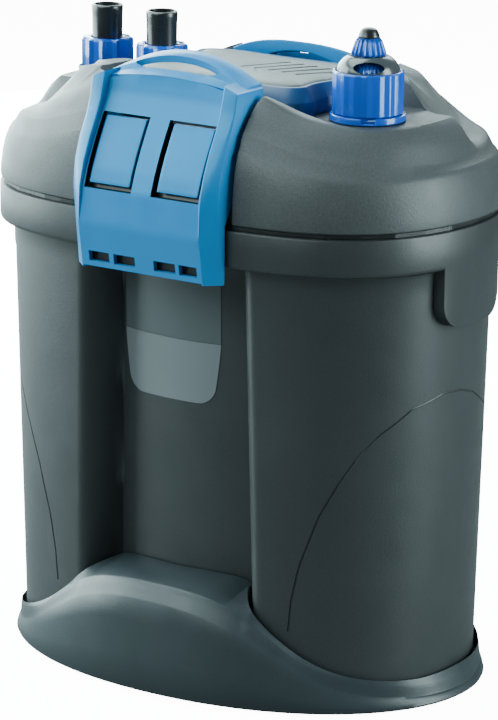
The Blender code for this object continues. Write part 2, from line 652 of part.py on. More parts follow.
def make_priming():
    outer = island()
    loft("button_surround", [
        at_height(outer, SHELF_Z + GAP), at_height(outer, 319.0),
        at_height(inset(outer, 4.5), 326.0), at_height(inset(outer, 7.0), 326.0),
        at_height(inset(outer, 7.0), SHELF_Z + GAP)], BLUE, closed=True)
    inner = inset(outer, 7.4)
    plate = loft("priming_plate", [
        at_height(inner, 320.5), at_height(inner, 325.2),
        at_height(inset(inner, 2.5), 327.0), at_height(shrink(inner, 0.75), 328.4)], GREY)
    stem = rod("priming_stem", (0, 0, 300), (0, 0, 322), 6.0, sides=20, cutter=True)
    boolean(plate, stem, "UNION")
    for i in range(5):
        x = 12 + 8.5 * i
        slot = block(f"grip_slot_{i}", (x - 1.1, -16, 326.6), (x + 1.1, 14, 335), cutter=True,
                     turn=math.radians(-28))
        cut(plate, slot)
    turns, per = 2.5, 12
    points = []
    for i in range(int(turns * per) + 1):
        angle = 2 * math.pi * i / per
        points.append((9.0 * math.cos(angle), 9.0 * math.sin(angle), 312.6 + 6.9 * i / (turns * per)))
    curve = bpy.data.curves.new("button_spring", "CURVE")
    curve.dimensions = "3D"
    curve.bevel_depth = 0.6 * MM
    curve.bevel_resolution = 1
    curve.use_fill_caps = True
    spline = curve.splines.new("POLY")
    spline.points.add(len(points) - 1)
    for target, p in zip(spline.points, points):
        target.co = (p[0] * MM, p[1] * MM, p[2] * MM, 1.0)
    curve.materials.append(material("button_spring_steel", *STEEL[1:]))
    spring = bpy.data.objects.new("button_spring", curve)
    PARTS.objects.link(spring)


# --- clips ----------------------------------------------------------------------------
WINDOW_TOP = 311.5
REAR_SQUASH = 0.43
PLATE_LINE = [(-99.0, 232.0), (-103.5, 255.5), (-101.3, 273.7), (-92.5, 297.0), (-83.5, 312.5),
              (-75.0, 328.0), (-73.0, 331.0)]
PLATE_BACK = [(-69.8, 329.0), (-72.2, 326.0), (-80.4, 311.0), (-89.4, 295.5), (-98.1, 272.8),
              (-100.2, 255.5), (-95.8, 232.0)]
RAIL_LINE = [(-98.6, 231.0), (-103.5, 255.5), (-102.5, 272.9), (-97.5, 288.0), (-90.0, 304.0),
             (-82.0, 316.0), (-80.2, 328.5), (-75.5, 331.5), (-57.0, 330.5), (-57.0, 325.0),
             (-63.5, 322.0), (-63.5, 309.0),
             (-76.8, 305.0), (-80.0, 281.0), (-86.0, 268.5), (-91.0, 262.0), (-91.0, 231.7)]


def facing(line, side):
    """A front outline, or the same one turned to the rear, where the clip's top sits lower."""
    return [(-side * y, clip_level(z, side)) for y, z in line]


def clip_level(z, side):
    """Heights above the windows are drawn together on the rear clip."""
    if side < 0 or z < WINDOW_TOP:
        return z
    return WINDOW_TOP + (z - WINDOW_TOP) * REAR_SQUASH


def make_clip(side):
    where = "rear" if side > 0 else "front"
    origin = (0, side * HINGE_Y, HINGE_Z)
    tag = "clip_" + where + "_"
    frame = prism(tag + "frame", facing(PLATE_LINE + PLATE_BACK, side), -38.5, 38.5, BLUE,
                  axis="X", origin=origin)
    for hand in (-1, 1):
        ends = sorted((hand * 37.5, hand * CLIP_HALF))
        rail = prism(f"{tag}rail_{hand}", facing(RAIL_LINE, side), *ends, axis="X", cutter=True)
        boolean(frame, rail, "UNION")
    boolean(frame, clip_visor(side, tag), "UNION")
    rib_y = sorted((-side * -91.0, -side * -98.0))
    rib = block(tag + "rib", (-38.5, rib_y[0], 232.3), (38.5, rib_y[1], 234.8), cutter=True)
    boolean(frame, rib, "UNION")
    deep = sorted((-side * -120.0, -side * -70.0))
    for hand in (-1, 1):
        ends = sorted((hand * 6.2, hand * 36.2))
        window = block(f"{tag}window_{hand}", (ends[0], deep[0], 274.0), (ends[1], deep[1], WINDOW_TOP),
                       cutter=True)
        cut(frame, window)
    outer = sorted((-side * -120.0, -side * -94.0))
    for i, x in enumerate((-28.2, -12.0, 13.4, 28.6)):
        slot = block(f"{tag}slot_{i}", (x - 6.5, outer[0], 235.4), (x + 6.5, outer[1], 240.9),
                     cutter=True)
        cut(frame, slot)
    pin_hole = rod(tag + "pin_hole", (-60, side * HINGE_Y, HINGE_Z), (60, side * HINGE_Y, HINGE_Z),
                   2.3, cutter=True)
    cut(frame, pin_hole)
    rod(tag + "pin", (-53, side * HINGE_Y, HINGE_Z), (53, side * HINGE_Y, HINGE_Z), 2.0, STEEL,
        sides=12)
    # raised panels in the windows, on a dark backing plate
    for hand, word in ((-1, "left"), (1, "right")):
        ends = sorted((hand * 7.8, hand * 34.6))
        line = [(-99.4, 276.2), (-90.8, 297.6), (-83.3, 310.2)]
        back = [(-81.1, 309.2), (-88.3, 296.4), (-96.9, 275.2)]
        prism(f"{tag}panel_{word}", facing(line + back, side), *ends, BLUE, axis="X",
              origin=origin)
    line = [(-96.3, 270.2), (-87.7, 294.2), (-79.4, 309.0), (-77.9, 308.2), (-86.1, 293.4),
            (-94.8, 269.6)]
    prism(tag + "backing", facing(line, side), -37.0, 37.0, BLACK, axis="X", origin=origin)


def clip_visor(side, tag):
    """The arched grip over the clip's top, with a lens-shaped slit for the fingers.

    The rear one is flatter, reaches further in and ends in a lip that hangs behind the surround.
    """
    sections = []
    for i in range(19):
        x = (CLIP_HALF - 2.3) * (i / 9 - 1)
        rise = 1 - (x / CLIP_HALF) ** 2
        if side < 0:
            front, crest = (-75.5, 327.8 + 4.4 * rise), (-67.5, 329.0 + 10.4 * rise)
            edge = (-56.5 + 1.5 * rise, 329.8 + 13.2 * rise)
            lip = [(edge[0] - 0.5, edge[1] - 3.0)]
        else:
            bow = 1 - abs(x / CLIP_HALF) ** 2.6
            front, crest = (-75.5, 318.4 + 1.8 * rise), (-66.0, 319.8 + 5.6 * bow)
            edge = (-46.6, 324.8 + 8.6 * bow)
            hang = 322.6 + 5.2 * max(0.0, 1 - (x / 25.0) ** 2)
            lip = [(-46.6, hang), (-48.8, hang), (-48.8, edge[1] - 3.0)]
        low_crest, low_front = (crest[0] + 1.0, crest[1] - 3.0), (front[0] + 1.5, front[1] - 3.2)
        sections.append([(x, -side * y, z)
                         for y, z in (front, crest, edge, *lip, low_crest, low_front)])
    visor = loft(tag + "visor", sections, cutter=True)
    lens = []
    for i in range(16):
        angle = 2 * math.pi * i / 16
        lens.append((SLIT_HALF * math.cos(angle), side * SLIT_Y + 5.0 * math.sin(angle)))
    slit = prism(tag + "slit", lens, 315, 355, cutter=True)
    cut(visor, slit)
    return visor


make_foot()
make_foot_pads()
make_container()
make_media()
make_head_cover()
make_head_inside()
make_pump_rotor()
make_ports()
make_heater()
make_gland()
make_priming()
make_clip(-1)
make_clip(1)
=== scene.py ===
"""Looks of a canister aquarium filter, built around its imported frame.

Lengths inside the shape functions are millimetres in the row frame; MM turns them into metres.
"""
import json
import math

import bmesh
import bpy
import numpy as np
from mathutils import Matrix, Vector


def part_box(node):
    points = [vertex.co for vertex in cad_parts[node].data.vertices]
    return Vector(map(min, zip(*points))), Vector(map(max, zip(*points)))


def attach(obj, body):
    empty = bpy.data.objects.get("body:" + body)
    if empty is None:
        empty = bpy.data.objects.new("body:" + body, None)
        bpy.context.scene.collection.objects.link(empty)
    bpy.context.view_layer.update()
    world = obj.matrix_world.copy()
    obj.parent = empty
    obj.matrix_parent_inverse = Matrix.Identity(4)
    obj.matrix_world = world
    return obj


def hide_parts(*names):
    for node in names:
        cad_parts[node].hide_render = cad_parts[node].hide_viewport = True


MM = 0.001
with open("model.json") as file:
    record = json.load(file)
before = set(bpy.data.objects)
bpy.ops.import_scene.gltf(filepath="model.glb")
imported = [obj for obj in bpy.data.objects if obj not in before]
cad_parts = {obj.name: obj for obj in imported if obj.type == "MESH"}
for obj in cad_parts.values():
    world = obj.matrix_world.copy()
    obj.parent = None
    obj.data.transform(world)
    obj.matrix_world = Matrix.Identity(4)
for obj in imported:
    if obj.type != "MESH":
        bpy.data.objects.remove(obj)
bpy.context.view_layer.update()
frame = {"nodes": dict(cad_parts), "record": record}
JOINTS = {j["name"]: j for j in frame["record"]["behaviour"]["joints"]}


def joint_at(name):
    return [c / MM for c in JOINTS[name]["pos_m"]]


def low(node):
    return [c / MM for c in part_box(node)[0]]


def high(node):
    return [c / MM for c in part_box(node)[1]]


# --- places that come from the frame
RIM_A, RIM_B = high("container")[0], high("container")[1]
RIM_TOP = high("container")[2]
RIM_LOW = RIM_TOP - 20.5
FOOT_A, FOOT_B = high("base_foot")[0], high("base_foot")[1]
FOOT_UNDER = low("base_foot")[2]
CAN_FLOOR = low("container")[2]
SKIRT_LOW = low("head_cover")[2]
HEATER = joint_at("heater_nut_turn")[:2]
PORTS = {"inlet": joint_at("inlet_nut_turn")[:2], "outlet": joint_at("outlet_nut_turn")[:2]}
HINGE_Y = joint_at("clip_rear_swing")[1]
HINGE_Z = joint_at("clip_rear_swing")[2]
CLIP_HALF = high("clip_front_frame")[0]
SHELF_Z = low("heater_flange")[2] - 0.4
GAP = 0.3
NOTCH_HALF = CLIP_HALF + 3.0
COLLAR_EXP = (3.9, 2.1)
FOOT_EXP = (2.1, 2.05)

# --- materials


def plastic(name, colour, roughness, grain=0.25, shade=0.10, coat=0.0, coat_rough=0.2,
            speckle=0.0, metallic=0.0):
    """Moulded plastic: fine spark-eroded grain, slight tone drift, uneven gloss."""
    mat = bpy.data.materials.new(name)
    mat.use_nodes = True
    tree = mat.node_tree
    nodes, links = tree.nodes, tree.links
    shader = nodes["Principled BSDF"]
    shader.inputs["Metallic"].default_value = metallic
    shader.inputs["Coat Weight"].default_value = coat
    shader.inputs["Coat Roughness"].default_value = coat_rough
    place = nodes.new("ShaderNodeTexCoord")

    def noise(scale, detail=4.0, rough=0.55):
        node = nodes.new("ShaderNodeTexNoise")
        node.inputs["Scale"].default_value = scale
        node.inputs["Detail"].default_value = detail
        node.inputs["Roughness"].default_value = rough
        links.new(place.outputs["Object"], node.inputs["Vector"])
        return node

    drift = noise(14.0)
    fine = noise(950.0, detail=2.0)
    ramp = nodes.new("ShaderNodeValToRGB")
    ramp.color_ramp.elements[0].position = 0.3
    ramp.color_ramp.elements[1].position = 0.7
    ramp.color_ramp.elements[0].color = (*[c * (1 - shade) for c in colour], 1)
    ramp.color_ramp.elements[1].color = (*[min(1, c * (1 + shade)) for c in colour], 1)
    links.new(drift.outputs["Fac"], ramp.inputs["Fac"])
    tint = ramp.outputs["Color"]
    if speckle:
        mix = nodes.new("ShaderNodeMix")
        mix.data_type = "RGBA"
        mix.blend_type = "OVERLAY"
        mix.inputs["Factor"].default_value = speckle
        links.new(tint, mix.inputs["A"])
        links.new(fine.outputs["Fac"], mix.inputs["B"])
        tint = mix.outputs["Result"]
    links.new(tint, shader.inputs["Base Color"])
    gloss = nodes.new("ShaderNodeMapRange")
    gloss.inputs["From Min"].default_value = 0.3
    gloss.inputs["From Max"].default_value = 0.7
    gloss.inputs["To Min"].default_value = max(0.02, roughness - 0.05)
    gloss.inputs["To Max"].default_value = min(1.0, roughness + 0.05)
    links.new(noise(60.0, 3.0).outputs["Fac"], gloss.inputs["Value"])
    links.new(gloss.outputs["Result"], shader.inputs["Roughness"])
    bump = nodes.new("ShaderNodeBump")
    bump.inputs["Strength"].default_value = grain
    bump.inputs["Distance"].default_value = 0.0002
    links.new(fine.outputs["Fac"], bump.inputs["Height"])
    links.new(bump.outputs["Normal"], shader.inputs["Normal"])
    return mat


GREY = plastic("container_grey", (0.027, 0.031, 0.033), 0.42, grain=0.35, speckle=0.25)
LID = plastic("head_grey", (0.054, 0.060, 0.062), 0.46, grain=0.55, speckle=0.45)
SLATE = plastic("foot_slate", (0.024, 0.034, 0.039), 0.40, grain=0.30, speckle=0.2)
BLUE = plastic("clip_blue", (0.012, 0.190, 0.470), 0.33, grain=0.20, shade=0.06)
GLOSS_BLUE = plastic("nut_blue", (0.004, 0.085, 0.50), 0.16, grain=0.04, shade=0.08, coat=0.6)
DEEP_BLUE = plastic("surround_blue", (0.008, 0.070, 0.200), 0.33, grain=0.18)
# Black plastic for the truly black parts; the same finish is also laid on the clips' window walls,
# slot strip and backing as painted shade.
BLACK = plastic("black_plastic", (0.008, 0.009, 0.010), 0.30, grain=0.15, coat=0.3)
RUBBER = plastic("black_rubber", (0.012, 0.012, 0.012), 0.75, grain=0.5)
SMOKE = plastic("heater_grey", (0.045, 0.055, 0.060), 0.22, grain=0.08, coat=0.4)
PLATE_GREY = plastic("plate_grey", (0.085, 0.102, 0.106), 0.42, grain=0.5, speckle=0.35)
LABEL = plastic("blank_label", (0.150, 0.168, 0.178), 0.34, grain=0.06, shade=0.04)
LABEL_TOP = plastic("blank_label_band", (0.072, 0.086, 0.092), 0.34, grain=0.06, shade=0.04)
BASKET = plastic("basket_grey", (0.12, 0.13, 0.135), 0.45)
STEEL = plastic("brushed_steel", (0.55, 0.55, 0.54), 0.26, grain=0.1, shade=0.03, metallic=1.0)
MAGNET = plastic("ferrite_magnet", (0.03, 0.03, 0.033), 0.5, grain=0.4)
for blue, tint in ((BLUE, (0.30, 0.86, 1.0, 1)), (GLOSS_BLUE, (0.35, 0.75, 1.0, 1))):
    blue.node_tree.nodes["Principled BSDF"].inputs["Specular Tint"].default_value = tint
GLASS = plastic("heater_glass", (0.45, 0.50, 0.50), 0.05, grain=0.0, coat=0.5)


def porous(name, colour, cell, depth=0.9):
    """Open-cell foam or bubbly ceramic: cells sunk into a matte body, with painted shade darkening
    each pit.
    """
    mat = bpy.data.materials.new(name)
    mat.use_nodes = True
    nodes, links = mat.node_tree.nodes, mat.node_tree.links
    shader = nodes["Principled BSDF"]
    shader.inputs["Roughness"].default_value = 0.95
    place = nodes.new("ShaderNodeTexCoord")
    cells = nodes.new("ShaderNodeTexVoronoi")
    cells.inputs["Scale"].default_value = 1.0 / (cell * MM)
    links.new(place.outputs["Object"], cells.inputs["Vector"])
    # Painted shade: the ramp darkens each cell towards its pit, where the bump sinks it.
    ramp = nodes.new("ShaderNodeValToRGB")
    ramp.color_ramp.elements[0].color = (*[c * 0.18 for c in colour], 1)
    ramp.color_ramp.elements[1].color = (*colour, 1)
    ramp.color_ramp.elements[1].position = 0.55
    links.new(cells.outputs["Distance"], ramp.inputs["Fac"])
    links.new(ramp.outputs["Color"], shader.inputs["Base Color"])
    bump = nodes.new("ShaderNodeBump")
    bump.inputs["Strength"].default_value = depth
    bump.inputs["Distance"].default_value = 0.001
    links.new(cells.outputs["Distance"], bump.inputs["Height"])
    links.new(bump.outputs["Normal"], shader.inputs["Normal"])
    return mat


FOAM_BLUE = porous("foam_blue", (0.02, 0.11, 0.32), 2.4)
FOAM_ORANGE = porous("foam_orange", (0.62, 0.20, 0.03), 1.8)
FOAM_WHITE = porous("foam_white", (0.72, 0.73, 0.70), 1.2, depth=0.6)
CERAMIC = porous("ceramic_media", (0.55, 0.45, 0.34), 3.0)

# --- mesh helpers
PIECES = []


def register(obj, body, finish, nodes=()):
    """Give a finished piece its material, its body and the nodes it stands for."""
    if finish is not None:
        obj.data.materials.clear()
        obj.data.materials.append(finish)
    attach(obj, body)
    if nodes:
        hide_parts(*nodes)
    PIECES.append(obj)
    return obj


def make(name, bm, smooth=30.0):
    bmesh.ops.recalc_face_normals(bm, faces=bm.faces)
    bmesh.ops.scale(bm, verts=bm.verts, vec=(MM, MM, MM))
    mesh = bpy.data.meshes.new(name)
    bm.to_mesh(mesh)
    bm.free()
    mesh.shade_smooth()
    mesh.set_sharp_from_angle(angle=math.radians(smooth))
    obj = bpy.data.objects.new(name, mesh)
    bpy.context.scene.collection.objects.link(obj)
    return obj


def loft(name, rings, closed=False, smooth=30.0):
    """Skin over rings of equal length; capped at both ends, or closed into a tube wall."""
    bm = bmesh.new()
    loops = [[bm.verts.new(p) for p in ring] for ring in rings]
    count = len(loops[0])
    pairs = list(zip(loops, loops[1:]))
    if closed:
        pairs.append((loops[-1], loops[0]))
    for a, b in pairs:
        for i in range(count):
            j = (i + 1) % count
            bm.faces.new((a[i], a[j], b[j], b[i]))
    if not closed:
        bm.faces.new(loops[0][::-1])
        bm.faces.new(loops[-1])
    return make(name, bm, smooth)


def prism(name, outline, low_end, high_end, axis="Z", smooth=30.0):
    """A flat outline pushed along an axis: (x, y) along Z, or (y, z) along X."""
    bm = bmesh.new()
    if axis == "Z":
        verts = [bm.verts.new((u, v, low_end)) for u, v in outline]
        push = (0, 0, high_end - low_end)
    else:
        verts = [bm.verts.new((low_end, u, v)) for u, v in outline]
        push = (high_end - low_end, 0, 0)
    side = bmesh.ops.extrude_face_region(bm, geom=[bm.faces.new(verts)])
    moved = [g for g in side["geom"] if isinstance(g, bmesh.types.BMVert)]
    bmesh.ops.translate(bm, verts=moved, vec=push)
    return make(name, bm, smooth)


def block(name, a, b, turn=0.0, bevel=0.0):
    bm = bmesh.new()
    bmesh.ops.create_cube(bm, size=1.0)
    bmesh.ops.scale(bm, verts=bm.verts, vec=[h - l for l, h in zip(a, b)])
    if bevel:
        bmesh.ops.bevel(bm, geom=bm.edges[:], offset=bevel, segments=3, affect="EDGES")
    bmesh.ops.rotate(bm, verts=bm.verts, matrix=Matrix.Rotation(turn, 3, "Z"))
    bmesh.ops.translate(bm, verts=bm.verts, vec=[(h + l) / 2 for l, h in zip(a, b)])
    return make(name, bm)


def rod(name, a, b, radius, sides=48):
    bm = bmesh.new()
    a, b = Vector(a), Vector(b)
    bmesh.ops.create_cone(bm, cap_ends=True, segments=sides, radius1=radius, radius2=radius,
                          depth=(b - a).length)
    turn = (b - a).to_track_quat("Z", "Y").to_matrix()
    bmesh.ops.rotate(bm, verts=bm.verts, matrix=turn)
    bmesh.ops.translate(bm, verts=bm.verts, vec=(a + b) / 2)
    return make(name, bm)


def turned(name, profile, spot, steps=96, smooth=30.0):
    """Spin a profile of (radius, z) about the vertical axis at spot."""
    rings = []
    closed = profile[0][0] > 0
    body = profile if closed else [p for p in profile if p[0] > 0]
    for r, z in body:
        rings.append([(spot[0] + r * math.cos(2 * math.pi * i / steps),
                       spot[1] + r * math.sin(2 * math.pi * i / steps), z) for i in range(steps)])
    return loft(name, rings, closed=closed, smooth=smooth)


def boolean(obj, other, operation="DIFFERENCE"):
    """Apply one Boolean and drop the other solid."""
    mod = obj.modifiers.new("bool", "BOOLEAN")
    mod.object = other
    mod.operation = operation
    mod.solver = "EXACT"
    bake(obj)
    bpy.data.objects.remove(other, do_unlink=True)
    return obj


def bake(obj):
    """Replace the mesh by what its modifiers make of it."""
    graph = bpy.context.evaluated_depsgraph_get()
    mesh = bpy.data.meshes.new_from_object(obj.evaluated_get(graph))
    obj.modifiers.clear()
    old = obj.data
    obj.data = mesh
    bpy.data.meshes.remove(old)


def soften(obj, width=0.5, segments=2, angle=32.0, smooth=38.0):
    """Round every sharp edge a little, as moulded edges are."""
    mod = obj.modifiers.new("edges", "BEVEL")
    mod.width = width * MM
    mod.segments = segments
    mod.limit_method = "ANGLE"
    mod.angle_limit = math.radians(angle)
    mod.miter_outer = "MITER_ARC"
    mod.harden_normals = False
    bake(obj)
    obj.data.shade_smooth()
    obj.data.set_sharp_from_angle(angle=math.radians(smooth))
    return obj


# --- outlines
FACE_X = tuple(76.0 * i / 44 for i in range(45))
END_STEPS = 26


def quadrant(a, b, n, m):
    """First-quadrant points of |x/a|^n + |y/b|^m = 1, from the face's middle to the end."""
    scale = a / RIM_A
    points = []
    for x in FACE_X:
        u = x * scale
        points.append((u, b * (1 - (u / a) ** n) ** (1 / m)))
    start = math.acos((points[-1][0] / a) ** (n / 2))
    for i in range(1, END_STEPS + 1):
        t = start * (1 - i / END_STEPS)
        points.append((a * math.cos(t) ** (2 / n), b * math.sin(t) ** (2 / m)))
    return points


def around(quarter):
    """Mirror a quadrant into a closed outline, without doubling the shared points."""
    half = [(x, -y) for x, y in quarter] + quarter[-2::-1]
    return half + [(-x, -y) for x, y in half[1:-1]]


def oval(a, b, exps=COLLAR_EXP):
    return around(quadrant(a, b, *exps))


def lobed_quarter(z):
    """Container outline at height z: a round lobe, a slack convex panel, a soft valley."""
    share = (z - CAN_FLOOR) / (RIM_LOW - CAN_FLOOR)
    a = 131.0 + 5.5 * share
    b = 78.0 + 4.0 * share
    panel = 63.0 + 3.0 * share
    inner = 45.5 - 5.0 * share
    points = []
    for x, y in quadrant(a, b, 3.3, 2.3):
        crown = panel - 8.5 * (x / 47.0) ** 2
        blend = min(1.0, max(0.0, (x - inner) / 15.0))
        blend = math.sin(blend * math.pi / 2) ** 0.8
        points.append((x, min(y, crown * (1 - blend) + y * blend) if x < 70 else y))
    return points


def lobed(z, grow=0.0):
    outline = around(lobed_quarter(z))
    return inset(outline, -grow) if grow else outline


def inset(outline, distance):
    """Move each point inwards along the mean normal of its two edges."""
    moved = []
    count = len(outline)
    for i in range(count):
        p = Vector(outline[i])
        before = (p - Vector(outline[i - 1])).normalized()
        after = (Vector(outline[(i + 1) % count]) - p).normalized()
        along = (before + after).normalized()
        normal = Vector((-along.y, along.x))
        slant = max(0.6, normal.dot(Vector((-before.y, before.x))))
        moved.append(tuple(p + normal * distance / slant))
    return moved


def at_height(outline, z):
    rule = z if callable(z) else (lambda x, y: z)
    return [(x, y, rule(x, y)) for x, y in outline]


def smooth_curve(stations, heights):
    """A smooth curve through a few stations (Catmull-Rom on uneven steps), even in x."""
    xs = np.array(stations, float)
    hs = np.array(heights, float)
    slopes = np.gradient(hs, xs)
    slopes[0] = 0.0

    def value(x):
        x = min(abs(x), xs[-1])
        i = min(len(xs) - 2, int(np.searchsorted(xs, x, side="right") - 1))
        step = xs[i + 1] - xs[i]
        t = (x - xs[i]) / step
        h00 = 2 * t ** 3 - 3 * t ** 2 + 1
        h10 = t ** 3 - 2 * t ** 2 + t
        h01 = 3 * t ** 2 - 2 * t ** 3
        h11 = t ** 3 - t ** 2
        return float(h00 * hs[i] + h10 * step * slopes[i] + h01 * hs[i + 1]
                     + h11 * step * slopes[i + 1])

    return value


def wave(heights, stations):
    curve = smooth_curve(stations, heights)
    return lambda x, y: curve(x)


# --- foot and container
CREST = wave((52.6, 52.0, 49.5, 45.0, 31.5, 22.0, 15.4, 9.7, 7.0),
             (0, 18, 33, 47, 71, 87, 101, 120, 138))
BAND = wave((61.0, 60.2, 57.5, 52.5, 39.8, 30.0, 23.4, 15.6, 13.5),
            (0, 20, 36, 50, 70, 83, 97, 122, 131))
TOP = wave((65.2, 65.0, 63.5, 58.0, 44.0, 32.0, 25.0, 18.5, 16.5),
           (0, 24, 38, 50, 66, 83, 97, 120, 131))


def between(rule_a, rule_b, share, lift=0.0):
    return lambda x, y: rule_a(x, y) * (1 - share) + rule_b(x, y) * share + lift


def foot_oval(twins, shrink_x, shrink_y):
    """Foot outline, a point for each twin: straight out beside the panels, radially at the ends."""
    a, b = FOOT_A - shrink_x, FOOT_B - shrink_y
    m, n = FOOT_EXP
    points = []
    for x, y in twins:
        near, far = 0.0, 4.0
        for _ in range(36):
            middle = (near + far) / 2
            reach = abs(x * middle / a) ** m + abs(y * middle / b) ** n
            near, far = (middle, far) if reach < 1 else (near, middle)
        share = min(1.0, max(0.0, (abs(x) - 66.0) / 28.0))
        if share == 1.0:
            points.append((x * near, y * near))
            continue
        across = x * (1 + (near - 1) * share)
        points.append((across, math.copysign(b * (1 - abs(across / a) ** m) ** (1 / n), y)))
    return points


def toward(outline, target, distance, share):
    """Move each point the given distance towards its twin, but at most that share of the way."""
    moved = []
    for p, q in zip(outline, target):
        gap = Vector(q) - Vector(p)
        step = min(distance, share * gap.length) / max(gap.length, 1e-6)
        moved.append(tuple(Vector(p) + gap * step))
    return moved


def build_foot():
    socket = lobed(66.0, grow=1.6)
    ground = lambda x, y: 3.0
    crest = foot_oval(socket, 2.2, 2.1)
    rings = [
        at_height(foot_oval(socket, 1.6, 1.6), FOOT_UNDER),
        at_height(foot_oval(socket, 0.5, 0.5), FOOT_UNDER + 0.4),
        at_height(foot_oval(socket, 0.0, 0.0), FOOT_UNDER + 1.5),
        at_height(foot_oval(socket, 0.5, 0.5), between(ground, CREST, 0.35)),
        at_height(foot_oval(socket, 1.3, 1.2), between(ground, CREST, 0.75)),
        at_height(crest, lambda x, y: CREST(x, y) - 0.6),
        at_height(toward(crest, socket, 0.9, 0.1), lambda x, y: CREST(x, y) + 0.5),
        at_height(toward(crest, socket, 3.2, 0.28), between(CREST, BAND, 0.5, 0.5)),
        at_height(toward(crest, socket, 5.8, 0.46), lambda x, y: BAND(x, y) - 0.3),
        at_height(toward(crest, socket, 6.7, 0.54), lambda x, y: BAND(x, y) + 0.3),
        at_height(toward(crest, socket, 400.0, 0.93), lambda x, y: TOP(x, y)),
        at_height(socket, lambda x, y: TOP(x, y) - 0.6),
        at_height(socket, CAN_FLOOR - GAP),
    ]
    foot = loft("foot_shell", rings, smooth=40)
    register(foot, "container_body", SLATE, ["base_foot"])


def build_container():
    neck = RIM_LOW - 0.8
    a, b = RIM_A, RIM_B
    side = [at_height(lobed(z), z) for z in np.linspace(CAN_FLOOR + 1.2, neck - 2.5, 24)]
    rings = [at_height(inset(lobed(CAN_FLOOR), 1.2), CAN_FLOOR)] + side + [
        at_height(lobed(neck, grow=0.5), neck - 0.6),
        at_height(lobed(neck, grow=1.6), neck),
        at_height(oval(a - 2.4, b - 2.4), RIM_LOW),
        at_height(oval(a - 1.0, b - 1.0), RIM_LOW + 0.5),
        at_height(oval(a - 0.25, b - 0.25), RIM_LOW + 1.4),
        at_height(oval(a, b), RIM_LOW + 2.6),
        at_height(oval(a, b), RIM_TOP - 1.2),
        at_height(oval(a - 0.35, b - 0.35), RIM_TOP - 0.35),
        at_height(oval(a - 1.2, b - 1.2), RIM_TOP),
        at_height(oval(a - 5.5, b - 5.5), RIM_TOP),
        at_height(oval(a - 5.5, b - 5.5), RIM_LOW + 3.5),
        at_height(inset(lobed(neck), 2.5), neck - 1.5),
        at_height(inset(lobed(120), 2.5), 120),
        at_height(inset(lobed(CAN_FLOOR), 2.5), CAN_FLOOR + 2.5),
    ]
    shell = loft("container_shell", rings, smooth=40)
    for hand in (-1, 1):
        boolean(shell, collar_tab(hand), "UNION")
    for hand in (-1, 1):
        boolean(shell, lobe_groove(hand))
    shell.data.set_sharp_from_angle(angle=math.radians(35))
    register(shell, "container_body", GREY, ["container"])


GROOVE = ((-97.3, 44), (-96.2, 60), (-92.8, 81), (-84.7, 109), (-76.6, 127), (-67.9, 142.5),
          (-57.9, 154), (-41.0, 166), (-17.9, 171), (-2.5, 170), (13.5, 166), (41.0, 152),
          (58.0, 137), (68.0, 124), (77.0, 107), (85.0, 86), (93.0, 58), (96.0, 44))


def lobe_groove(hand):
    """A thin tube along the curved line that is moulded into each lobe."""
    angles = [a for a, z in GROOVE]
    rings, heart = [], Vector((85.0, 0.0))
    for angle in np.linspace(angles[0], angles[-1], 150):
        z = float(np.interp(angle, angles, [h for a, h in GROOVE]))
        along = Vector((math.cos(math.radians(angle)), math.sin(math.radians(angle))))
        best = None
        outline = lobed(z)
        for p, q in zip(outline, outline[1:] + outline[:1]):
            p, q = Vector(p) - heart, Vector(q) - heart
            side_p, side_q = along.cross(p), along.cross(q)
            if side_p * side_q <= 0 and side_p != side_q:
                hit = p + (q - p) * (side_p / (side_p - side_q))
                if hit.dot(along) > 0 and (best is None or hit.length > best.length):
                    best = hit
        rings.append(Vector((best.x + heart.x, best.y, z)))
    tube = []
    for before, here, after in zip(rings[:1] + rings, rings, rings[1:] + rings[-1:]):
        forward = (after - before).normalized()
        out = Vector((here.x - heart.x, here.y, 0)).normalized()
        across = forward.cross(out).normalized()
        out = across.cross(forward)
        tube.append([here + 0.62 * (math.cos(t) * out + math.sin(t) * across)
                     for t in np.linspace(0, 2 * math.pi, 9)[:-1]])
    return loft("groove", [[(hand * p.x, p.y, p.z) for p in ring] for ring in tube])


def build_label():
    """A plain two-tone label with rounded lower corners, lying on the front panel."""
    middle, half, top, bottom, radius = -7.0, 32.0, 234.0, 156.5, 9.0

    def panel_y(x, z):
        share = (z - CAN_FLOOR) / (RIM_LOW - CAN_FLOOR)
        return -(63.0 + 3.0 * share - 8.5 * (x / 47.0) ** 2)

    def half_width(z):
        width = half - 4.5 * max(0.0, (190.0 - z) / (190.0 - bottom)) ** 1.3
        drop = max(0.0, bottom + radius - z)
        return width - radius + math.sqrt(max(0.0, radius ** 2 - drop ** 2))

    for name, finish, z_top, z_low in (("label_upper", LABEL_TOP, top, 190.3),
                                       ("label_lower", LABEL, 190.0, bottom)):
        bm = bmesh.new()
        levels = z_low + (z_top - z_low) * np.linspace(0, 1, 22) ** 1.5
        grid = [[bm.verts.new((middle + half_width(z) * t, panel_y(middle + half_width(z) * t, z)
                               - 0.28, z)) for t in np.linspace(-1, 1, 31)] for z in levels]
        for a, b in zip(grid, grid[1:]):
            for i in range(len(a) - 1):
                bm.faces.new((a[i], a[i + 1], b[i + 1], b[i]))
        wall = bmesh.ops.extrude_face_region(bm, geom=bm.faces[:])
        moved = [g for g in wall["geom"] if isinstance(g, bmesh.types.BMVert)]
        bmesh.ops.translate(bm, verts=moved, vec=(0, 0.4, 0))
        register(make(name, bm), "container_body", finish)


